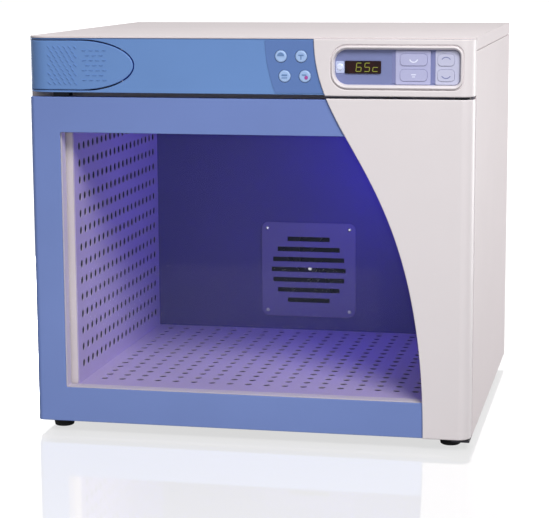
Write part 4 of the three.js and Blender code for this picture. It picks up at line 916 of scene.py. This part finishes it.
# Pale seat that carries the indicator
SEAT_RISE = 0.0007
SEAT_HALF = 0.0098
SEAT_ROOM = 0.0012
SEAT_CORNER = 0.003
SEAT_EDGE = 0.0003
lens_low, lens_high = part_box("indicator_lens")
lens_mid = middle("indicator_lens")
seat = flat_plate(
    rounded_box(
        lens_low.x - SEAT_ROOM,
        lens_high.x + SEAT_ROOM,
        lens_mid.z - SEAT_HALF,
        lens_mid.z + SEAT_HALF,
        SEAT_CORNER,
        SEAT_CORNER,
    ),
    [],
    SEAT_RISE,
    SEAT_EDGE,
)
piece("indicator_seat", upright(seat, tray_face), "lavender_plastic", "cabinet", material=SEAT_PLASTIC)

# Digits on the display
display_low, display_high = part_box("display_window")
SEGMENTS = {
    "a": ((0, 2), (1, 2)),
    "b": ((1, 1), (1, 2)),
    "c": ((1, 0), (1, 1)),
    "d": ((0, 0), (1, 0)),
    "e": ((0, 0), (0, 1)),
    "f": ((0, 1), (0, 2)),
    "g": ((0, 1), (1, 1)),
}
SIGNS = ["acdefg", "acdfg", "deg"]
DIGIT_WIDTH = 0.0082
DIGIT_RISE = 0.0068
DIGIT_STEP = 0.0138
DIGIT_START = 0.0180
STROKE = 0.0006
STROKE_TIP = 0.3
LEAN = 0.12
DIGIT_PROUD = 0.0002
DIGIT_SUNK = 0.0003


def segment(x, z, ends):
    (u0, v0), (u1, v1) = ends
    a = Vector((x + u0 * DIGIT_WIDTH + v0 * DIGIT_RISE * LEAN, z + v0 * DIGIT_RISE))
    b = Vector((x + u1 * DIGIT_WIDTH + v1 * DIGIT_RISE * LEAN, z + v1 * DIGIT_RISE))
    along = (b - a).normalized() * STROKE
    across = Vector((-along.y, along.x))
    tip = STROKE_TIP * along
    corners = [a + tip, a + along + across, b - along + across, b - tip]
    corners += [b - along - across, a + along - across]
    return prism([tuple(p) for p in corners], display_low.y - DIGIT_PROUD, display_low.y + DIGIT_SUNK)


strokes = []
for place, sign in enumerate(SIGNS):
    left = display_low.x + DIGIT_START + place * DIGIT_STEP
    floor_z = (display_low.z + display_high.z) / 2 - DIGIT_RISE
    strokes += [segment(left, floor_z, SEGMENTS[letter]) for letter in sign]
piece("display_digits", joined(*strokes), "display_black", "cabinet", material=DIGIT_GLOW)


# Marks on the keys, sunk into the caps and a hair proud
MARK_RISE = 0.0002
MARK_DEPTH = 0.0012


def band(x, z, radius, width, start_deg, end_deg, steps=12):
    outside = arc(x, z, radius + width / 2, start_deg, end_deg, steps)
    return outside + arc(x, z, radius - width / 2, end_deg, start_deg, steps)


def bar(x, z, length, width):
    corner = min(length, width) / 3
    return rounded_box(
        x - length / 2,
        x + length / 2,
        z - width / 2,
        z + width / 2,
        corner,
        corner,
        SMALL_CORNER_STEPS,
    )


def mark(name, node, material, *outlines):
    """Puts outlines, given about the middle of a key, on its face."""
    at = middle(node)
    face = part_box(node)[0].y
    parts = []
    for outline in outlines:
        points = [(at.x + x, at.z + z) for x, z in outline]
        parts.append(prism(points, face - MARK_RISE, face + MARK_DEPTH))
    return piece(name, joined(*parts), slot_of[node], nodes_of[node]["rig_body"], material=material)


# Each mark's name, key, finish and outlines
DOT_POINTS = 24
MARKS = [
    ("set_mark_upper", "set_key_upper", MARK_PALE, band(0, 0.003, 0.0068, 0.002, 200, 340)),
    (
        "set_mark_lower",
        "set_key_lower",
        MARK_PALE,
        bar(0, 0.001, 0.008, 0.0016),
        bar(0, -0.0025, 0.005, 0.0014),
    ),
    ("arrow_mark_up", "arrow_key_up", MARK_INK, band(0, -0.004, 0.0085, 0.0016, 35, 145)),
    ("arrow_mark_down", "arrow_key_down", MARK_INK, band(0, 0.004, 0.0085, 0.0016, 215, 325)),
    ("mode_mark_1", "mode_key_1", MARK_BLUE, arc(0, 0.0006, 0.0058, 0, 180, 16)),
    (
        "mode_mark_2",
        "mode_key_2",
        MARK_BLUE,
        bar(0, 0.0022, 0.009, 0.0016),
        bar(0, -0.0022, 0.0016, 0.006),
    ),
    (
        "mode_mark_3",
        "mode_key_3",
        MARK_BLUE,
        bar(0, 0.0018, 0.0095, 0.0026),
        bar(0, -0.0026, 0.0095, 0.0014),
    ),
    ("mode_mark_4", "mode_key_4", MARK_BLUE, bar(-0.001, 0.0024, 0.0075, 0.0016)),
    ("mode_dot_4", "mode_key_4", MARK_RED, round_outline(0.0024, -0.0020, 0.0030, DOT_POINTS)),
]
for name, node, material, *outlines in MARKS:
    mark(name, node, material, *outlines)

# Chamber walls and deck with their full pattern of holes
WALL_SHEET = 0.0015
WALL_HOLE = 0.0072
WALL_MARGIN = 0.018
WALL_FOOT = 0.0437
WALL_HEAD = 0.0067
WALL_COLUMNS = 19
WALL_ROWS = 15
DECK_HOLE = 0.0066
DECK_MARGIN = 0.016
DECK_FRONT = 0.034
DECK_COLUMNS = 18
DECK_ROWS = 15


def duct_wall(node, side):
    low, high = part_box(node)
    columns = cells(low.y, high.y, WALL_MARGIN, WALL_MARGIN, WALL_COLUMNS)
    rows = cells(low.z, high.z, WALL_FOOT, WALL_HEAD, WALL_ROWS)
    bm = perforated(columns, rows, WALL_HOLE)
    face = high.x if side < 0 else low.x
    for v in bm.verts:
        v.co = Vector((face, v.co.x, v.co.y))
    return stand_in(node, thickened(bm, WALL_SHEET))


duct_wall("left_duct_panel", -1)
duct_wall("right_duct_panel", 1)

deck_low, deck_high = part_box("floor_deck")
deck = perforated(
    cells(deck_low.x, deck_high.x, DECK_MARGIN, DECK_MARGIN, DECK_COLUMNS),
    cells(deck_low.y, deck_high.y, DECK_FRONT, DECK_MARGIN, DECK_ROWS),
    DECK_HOLE,
)
bmesh.ops.translate(deck, verts=deck.verts, vec=(0, 0, deck_high.z))
stand_in("floor_deck", thickened(deck, WALL_SHEET))

# Feet: turned rubber with two grooves, as (share of radius, cut, height) points, and a stud
FOOT_GROOVE = 0.0008
FOOT_STUD = 0.25
FOOT_SIDES = 40
FOOT_PROFILE = [
    (0, 0, 0),
    (0.76, 0, 0),
    (0.84, 0, 0.0012),
    (0.88, 0, 0.0050),
    (0.88, FOOT_GROOVE, 0.0056),
    (0.90, FOOT_GROOVE, 0.0066),
    (0.90, 0, 0.0072),
    (0.95, 0, 0.0110),
    (0.95, FOOT_GROOVE, 0.0116),
    (0.96, FOOT_GROOVE, 0.0126),
    (0.97, 0, 0.0132),
    (1, 0, 0.0160),
    (0.98, 0, 0.0177),
    (FOOT_STUD, 0, 0.0177),
]
for row in ("front", "back"):
    for side in ("left", "right"):
        node = f"foot_{row}_{side}"
        low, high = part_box(node)
        at = middle(node)
        wide = (high.x - low.x) / 2
        profile = [(share * wide - cut, height) for share, cut, height in FOOT_PROFILE]
        profile += [(FOOT_STUD * wide, high.z), (0, high.z)]
        foot = lathe(profile, FOOT_SIDES)
        bmesh.ops.translate(foot, verts=foot.verts, vec=(at.x, at.y, 0))
        stand_in(node, foot)

# Door gasket: two soft lobes with a groove between, as shares of its width and of its height
gasket_low, gasket_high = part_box("door_gasket")
GASKET_WIDTH = 0.012
GASKET_CORNER = 0.018
GASKET_PROFILE = [
    (0, 0.0),
    (0, 0.30),
    (0.14, 0.62),
    (0.2, 1.0),
    (0.38, 1.0),
    (0.46, 0.55),
    (0.54, 0.55),
    (0.62, 1.0),
    (0.8, 1.0),
    (0.86, 0.62),
    (1, 0.30),
    (1, 0.0),
]
gasket_rings = []
for across, rise in GASKET_PROFILE:
    inset = across * GASKET_WIDTH
    outline = rounded_box(
        gasket_low.x + inset,
        gasket_high.x - inset,
        gasket_low.z + inset,
        gasket_high.z - inset,
        GASKET_CORNER - inset,
        GASKET_CORNER - inset,
    )
    depth = gasket_low.y + rise * (gasket_high.y - gasket_low.y)
    gasket_rings.append([(x, depth, z) for x, z in outline])
stand_in("door_gasket", loft(gasket_rings, closed=True))

# Everything else keeps its solid, with rounded edges of these radii
EDGES = {
    "left_side_panel": 0.0007,
    "right_side_panel": 0.0007,
    "top_cover": 0.0011,
    "bottom_pan": 0.0004,
    "back_panel": 0.0005,
    "front_frame": 0.0004,
    "upper_hinge_pin": 0.0005,
    "lower_hinge_pin": 0.0005,
    "chamber_ceiling": 0.0004,
    "liner_shell": 0.0004,
    "insulation_wrap": 0.003,
    "back_insulation": 0.003,
    "chamber_lamp": 0.001,
    "blower_impeller": 0.0004,
    "blower_shaft": 0.0005,
    "blower_motor": 0.002,
    "heating_element": 0.0002,
    "temperature_probe": 0.0005,
    "paddle_pin": 0.0004,
    "door_liner": 0.0012,
    "door_glass": 0.0008,
    "upper_hinge_bush": 0.0004,
    "lower_hinge_bush": 0.0004,
    "door_strike": 0.0004,
    "power_inlet": 0.0006,
    "power_rocker": 0.0006,
}
for node, edge in EDGES.items():
    dressed(node, edge)
# The chamber back and the return grille take darker copies of the liner metal, which paint the chamber's
# shade
FINISHED_EDGES = [
    ("latch_magnet", 0.0008, FERRITE),
    ("upper_hinge_bracket", 0.0006, DARK_STEEL),
    ("lower_hinge_bracket", 0.0006, DARK_STEEL),
    ("chamber_back", 0.0004, SHADED_BACK_WALL),
    ("return_grille", 0.0005, SHADED_GRILLE),
]
for node, edge, material in FINISHED_EDGES:
    dressed(node, edge, material=material)

# Screws: button heads with a six-sided socket, as shares of the radius and of the rise
SCREW_SIDES = 24
SCREW_SUNK = 0.0003
SCREW_RISE = 0.42
SCREW_HEAD = [(1, 0.18), (0.94, 0.5), (0.78, 0.84), (0.58, 1)]
SCREW_SOCKET = [(0.5, 1), (0.48, 0.25)]


def circle(radius, height):
    turns = [2 * math.pi * i / SCREW_SIDES for i in range(SCREW_SIDES)]
    return [(radius * math.cos(a), radius * math.sin(a), height) for a in turns]


def hexagon(radius, height):
    sixth = math.pi / 3
    ring = []
    for i in range(SCREW_SIDES):
        a = 2 * math.pi * i / SCREW_SIDES
        reach = radius * math.cos(sixth / 2) / math.cos(a % sixth - sixth / 2)
        ring.append((reach * math.cos(a), reach * math.sin(a), height))
    return ring


def screw(x, y, z, radius, toward):
    """A screw head on a face that looks along Y, towards -1 or 1."""
    rise = SCREW_RISE * radius
    rings = [circle(radius, -SCREW_SUNK)]
    rings += [circle(wide * radius, high * rise) for wide, high in SCREW_HEAD]
    rings += [hexagon(wide * radius, high * rise) for wide, high in SCREW_SOCKET]
    head = loft(rings)
    matrix = Matrix.Translation((x, y, z)) @ Matrix.Rotation(-toward * math.pi / 2, 4, "X")
    bmesh.ops.transform(head, matrix=matrix, verts=head.verts)
    return head


def frame_of_screws(x0, x1, z0, z1, across, up):
    """Places along the four sides of a box, with a number of them on each side."""
    level = [(x, z) for x in spaced(x0, x1, across) for z in (z0, z1)]
    return level + [(x, z) for x in (x0, x1) for z in spaced(z0, z1, up)[1:-1]]


def screws(name, body, face, radius, toward, places):
    heads = [screw(x, face, z, radius, toward) for x, z in places]
    return piece(name, joined(*heads), "steel", body)


BACK_SCREW = 0.0042
BACK_SCREW_INSET = 0.012
back_low, back_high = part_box("back_panel")
back_places = frame_of_screws(
    back_low.x + BACK_SCREW_INSET,
    back_high.x - BACK_SCREW_INSET,
    back_low.z + BACK_SCREW_INSET,
    back_high.z - BACK_SCREW_INSET,
    across=5,
    up=5,
)
screws("back_panel_screws", "cabinet", back_high.y, BACK_SCREW, 1, back_places)

GRILLE_SCREW = 0.0036
GRILLE_SCREW_INSET = 0.012
grille_low, grille_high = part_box("return_grille")
grille_places = frame_of_screws(
    grille_low.x + GRILLE_SCREW_INSET,
    grille_high.x - GRILLE_SCREW_INSET,
    grille_low.z + GRILLE_SCREW_INSET,
    grille_high.z - GRILLE_SCREW_INSET,
    across=2,
    up=2,
)
screws("return_grille_screws", "cabinet", grille_low.y, GRILLE_SCREW, -1, grille_places)

# The liner's corners take no screws
LINER_SCREW = 0.0034
LINER_CORNER_X = 0.34
LINER_CORNER_LOW = 0.06
LINER_CORNER_HIGH = 0.54
liner_low, liner_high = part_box("door_liner")
liner_places = frame_of_screws(
    (liner_low.x + gasket_low.x) / 2,
    (liner_high.x + gasket_high.x) / 2,
    (liner_low.z + gasket_low.z) / 2,
    (liner_high.z + gasket_high.z) / 2,
    across=6,
    up=5,
)


def off_corner(x, z):
    return abs(x) < LINER_CORNER_X or LINER_CORNER_LOW < z < LINER_CORNER_HIGH


liner_places = [place for place in liner_places if off_corner(*place)]
screws("door_liner_screws", "door", liner_high.y, LINER_SCREW, 1, liner_places)

# Bright blades in the power socket
SOCKET_AT = (0.282, 0.615)
BLADES = [(-0.007, -0.002), (0, 0.002), (0.007, -0.002)]
BLADE_HALF_WIDTH = 0.0011
BLADE_HALF_HEIGHT = 0.0026
BLADE_CORNER = 0.0005
BLADE_DEPTH = (0.3320, 0.3472)
blades = []
for x, z in BLADES:
    mid_x, mid_z = SOCKET_AT[0] + x, SOCKET_AT[1] + z
    outline = rounded_box(
        mid_x - BLADE_HALF_WIDTH,
        mid_x + BLADE_HALF_WIDTH,
        mid_z - BLADE_HALF_HEIGHT,
        mid_z + BLADE_HALF_HEIGHT,
        BLADE_CORNER,
        BLADE_CORNER,
        SMALL_CORNER_STEPS,
    )
    blades.append(prism(outline, *BLADE_DEPTH))
piece("socket_blades", joined(*blades), "steel", "cabinet")

# Marks on the rocker, a stroke at one end and a ring at the other, tilted with it
ROCKER_AT = (0.282, 0.3454, 0.644)
ROCKER_TILT_DEG = 7
ROCKER_MARK_RISE = 0.0062
ROCKER_MARK_FRONT = 0.0020
ROCKER_MARK_BACK = 0.0030
ROCKER_STROKE = (0.0012, 0.0050)
ROCKER_RING = 0.0022
ROCKER_RING_WIDTH = 0.0010


def ring_mark(z, radius, width):
    outside = round_outline(0, z, radius + width / 2, DOT_POINTS)
    inside = round_outline(0, z, radius - width / 2, DOT_POINTS)
    near, far = ROCKER_MARK_FRONT, ROCKER_MARK_BACK
    corners = [(outside, near), (outside, far), (inside, far), (inside, near)]
    return loft([[(u, y, v) for u, v in outline] for outline, y in corners], closed=True)


rocker_stroke = prism(bar(0, ROCKER_MARK_RISE, *ROCKER_STROKE), ROCKER_MARK_FRONT, ROCKER_MARK_BACK)
rocker_mark = joined(rocker_stroke, ring_mark(-ROCKER_MARK_RISE, ROCKER_RING, ROCKER_RING_WIDTH))
tilt = Matrix.Translation(ROCKER_AT) @ Matrix.Rotation(math.radians(ROCKER_TILT_DEG), 4, "X")
bmesh.ops.transform(rocker_mark, matrix=tilt, verts=rocker_mark.verts)
rocker_body = nodes_of["power_rocker"]["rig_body"]
piece("rocker_mark", rocker_mark, slot_of["power_rocker"], rocker_body, material=MARK_PALE)

# Floor: a pale glossy sheet that keeps the cabinet's shadow and shows bright to the camera
FLOOR_REACH = 30
FLOOR_TONE = (0.18, 0.18, 0.185, 1)
FLOOR_ROUGHNESS = 0.04
FLOOR_IOR = 1.8
FLOOR_GLOW = 0.68
floor_corners = [(x * FLOOR_REACH, y * FLOOR_REACH, 0) for x, y in ((-1, -1), (1, -1), (1, 1), (-1, 1))]
floor_mesh = bpy.data.meshes.new("floor")
floor_mesh.from_pydata(floor_corners, [], [(0, 1, 2, 3)])
floor = bpy.data.objects.new("floor", floor_mesh)
bpy.context.scene.collection.objects.link(floor)
floor_finish = bpy.data.materials.new("studio_floor")
floor_finish.use_nodes = True
floor_shader = floor_finish.node_tree.nodes["Principled BSDF"]
floor_shader.inputs["Base Color"].default_value = FLOOR_TONE
floor_shader.inputs["Roughness"].default_value = FLOOR_ROUGHNESS
floor_shader.inputs["IOR"].default_value = FLOOR_IOR
floor_shader.inputs["Emission Color"].default_value = (1, 1, 1, 1)
floor_path = floor_finish.node_tree.nodes.new("ShaderNodeLightPath")
floor_glow = floor_finish.node_tree.nodes.new("ShaderNodeMath")
floor_glow.operation = "MULTIPLY"
floor_glow.inputs[1].default_value = FLOOR_GLOW
floor_links = floor_finish.node_tree.links
floor_links.new(floor_path.outputs["Is Camera Ray"], floor_glow.inputs[0])
floor_links.new(floor_glow.outputs["Value"], floor_shader.inputs["Emission Strength"])
floor_mesh.materials.append(floor_finish)

# World: a soft light all round, and a white backdrop for the camera, glossy faces and glass
SKY_TONE = (1.0, 0.985, 0.98, 1)
SKY_STRENGTH = 0.3
world = bpy.data.worlds.new("studio")
bpy.context.scene.world = world
world.use_nodes = True
world_nodes = world.node_tree.nodes
world_links = world.node_tree.links
sky = world_nodes["Background"]
sky.inputs["Color"].default_value = SKY_TONE
sky.inputs["Strength"].default_value = SKY_STRENGTH
backdrop = world_nodes.new("ShaderNodeBackground")
backdrop.inputs["Color"].default_value = (1, 1, 1, 1)
backdrop.inputs["Strength"].default_value = 1.0
path = world_nodes.new("ShaderNodeLightPath")
direct = world_nodes.new("ShaderNodeMath")
direct.operation = "MAXIMUM"
seen = world_nodes.new("ShaderNodeMath")
seen.operation = "MAXIMUM"
choose = world_nodes.new("ShaderNodeMixShader")
world_links.new(path.outputs["Is Camera Ray"], direct.inputs[0])
world_links.new(path.outputs["Is Glossy Ray"], direct.inputs[1])
world_links.new(direct.outputs["Value"], seen.inputs[0])
world_links.new(path.outputs["Is Transmission Ray"], seen.inputs[1])
world_links.new(seen.outputs["Value"], choose.inputs["Fac"])
world_links.new(sky.outputs["Background"], choose.inputs[1])
world_links.new(backdrop.outputs["Background"], choose.inputs[2])
world_links.new(choose.outputs["Shader"], world_nodes["World Output"].inputs["Surface"])

# Lamps: name, place, target, width, height, watts, colour
WHITE = (1, 1, 1)
VIOLET = (0.13, 0.1, 1.0)
LENS_ROOM = 0.002
lens = middle("chamber_lamp")
lens_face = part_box("chamber_lamp")[0].x - LENS_ROOM
LAMPS = [
    ("key_lamp", (1.33, -2.28, 2.62), (0, -0.3, 0.35), 1.2, 1.2, 92, WHITE),
    ("side_lamp", (2.60, 1.86, 0.3), (0.38, 0, 0.15), 1.2, 0.5, 36, WHITE),
    ("low_lamp", (-0.25, -1.2, 0.08), (-0.2, -0.35, 0.05), 0.7, 0.14, 1.5, WHITE),
    ("back_lamp", (-2.2, 2.6, 0.6), (-0.2, 0.2, 0.3), 1.6, 0.6, 45, WHITE),
    ("chamber_light", (lens_face, lens.y, lens.z), (0, lens.y, lens.z), 0.2, 0.026, 1.0, VIOLET),
]
for name, at, target, width, height, watts, tint in LAMPS:
    lamp = bpy.data.lights.new(name, "AREA")
    lamp.shape = "RECTANGLE"
    lamp.size = width
    lamp.size_y = height
    lamp.energy = watts
    lamp.color = tint
    holder = bpy.data.objects.new(name, lamp)
    holder.location = at
    holder.rotation_euler = (Vector(target) - Vector(at)).to_track_quat("-Z", "Y").to_euler()
    bpy.context.scene.collection.objects.link(holder)

camera_data = bpy.data.cameras.new("camera")
camera_data.lens = CAMERA_LENS
camera_data.sensor_width = SENSOR_WIDTH
camera = bpy.data.objects.new("camera", camera_data)
camera.location = CAMERA_AT
yaw = Matrix.Rotation(math.radians(CAMERA_YAW_DEG), 3, "Z")
pitch = Matrix.Rotation(math.radians(90 - CAMERA_PITCH_DEG), 3, "X")
roll = Matrix.Rotation(math.radians(CAMERA_ROLL_DEG), 3, "Z")
camera.rotation_euler = (yaw @ pitch @ roll).to_euler()
bpy.context.scene.collection.objects.link(camera)
bpy.context.scene.camera = camera
bpy.context.scene.view_settings.view_transform = "Standard"
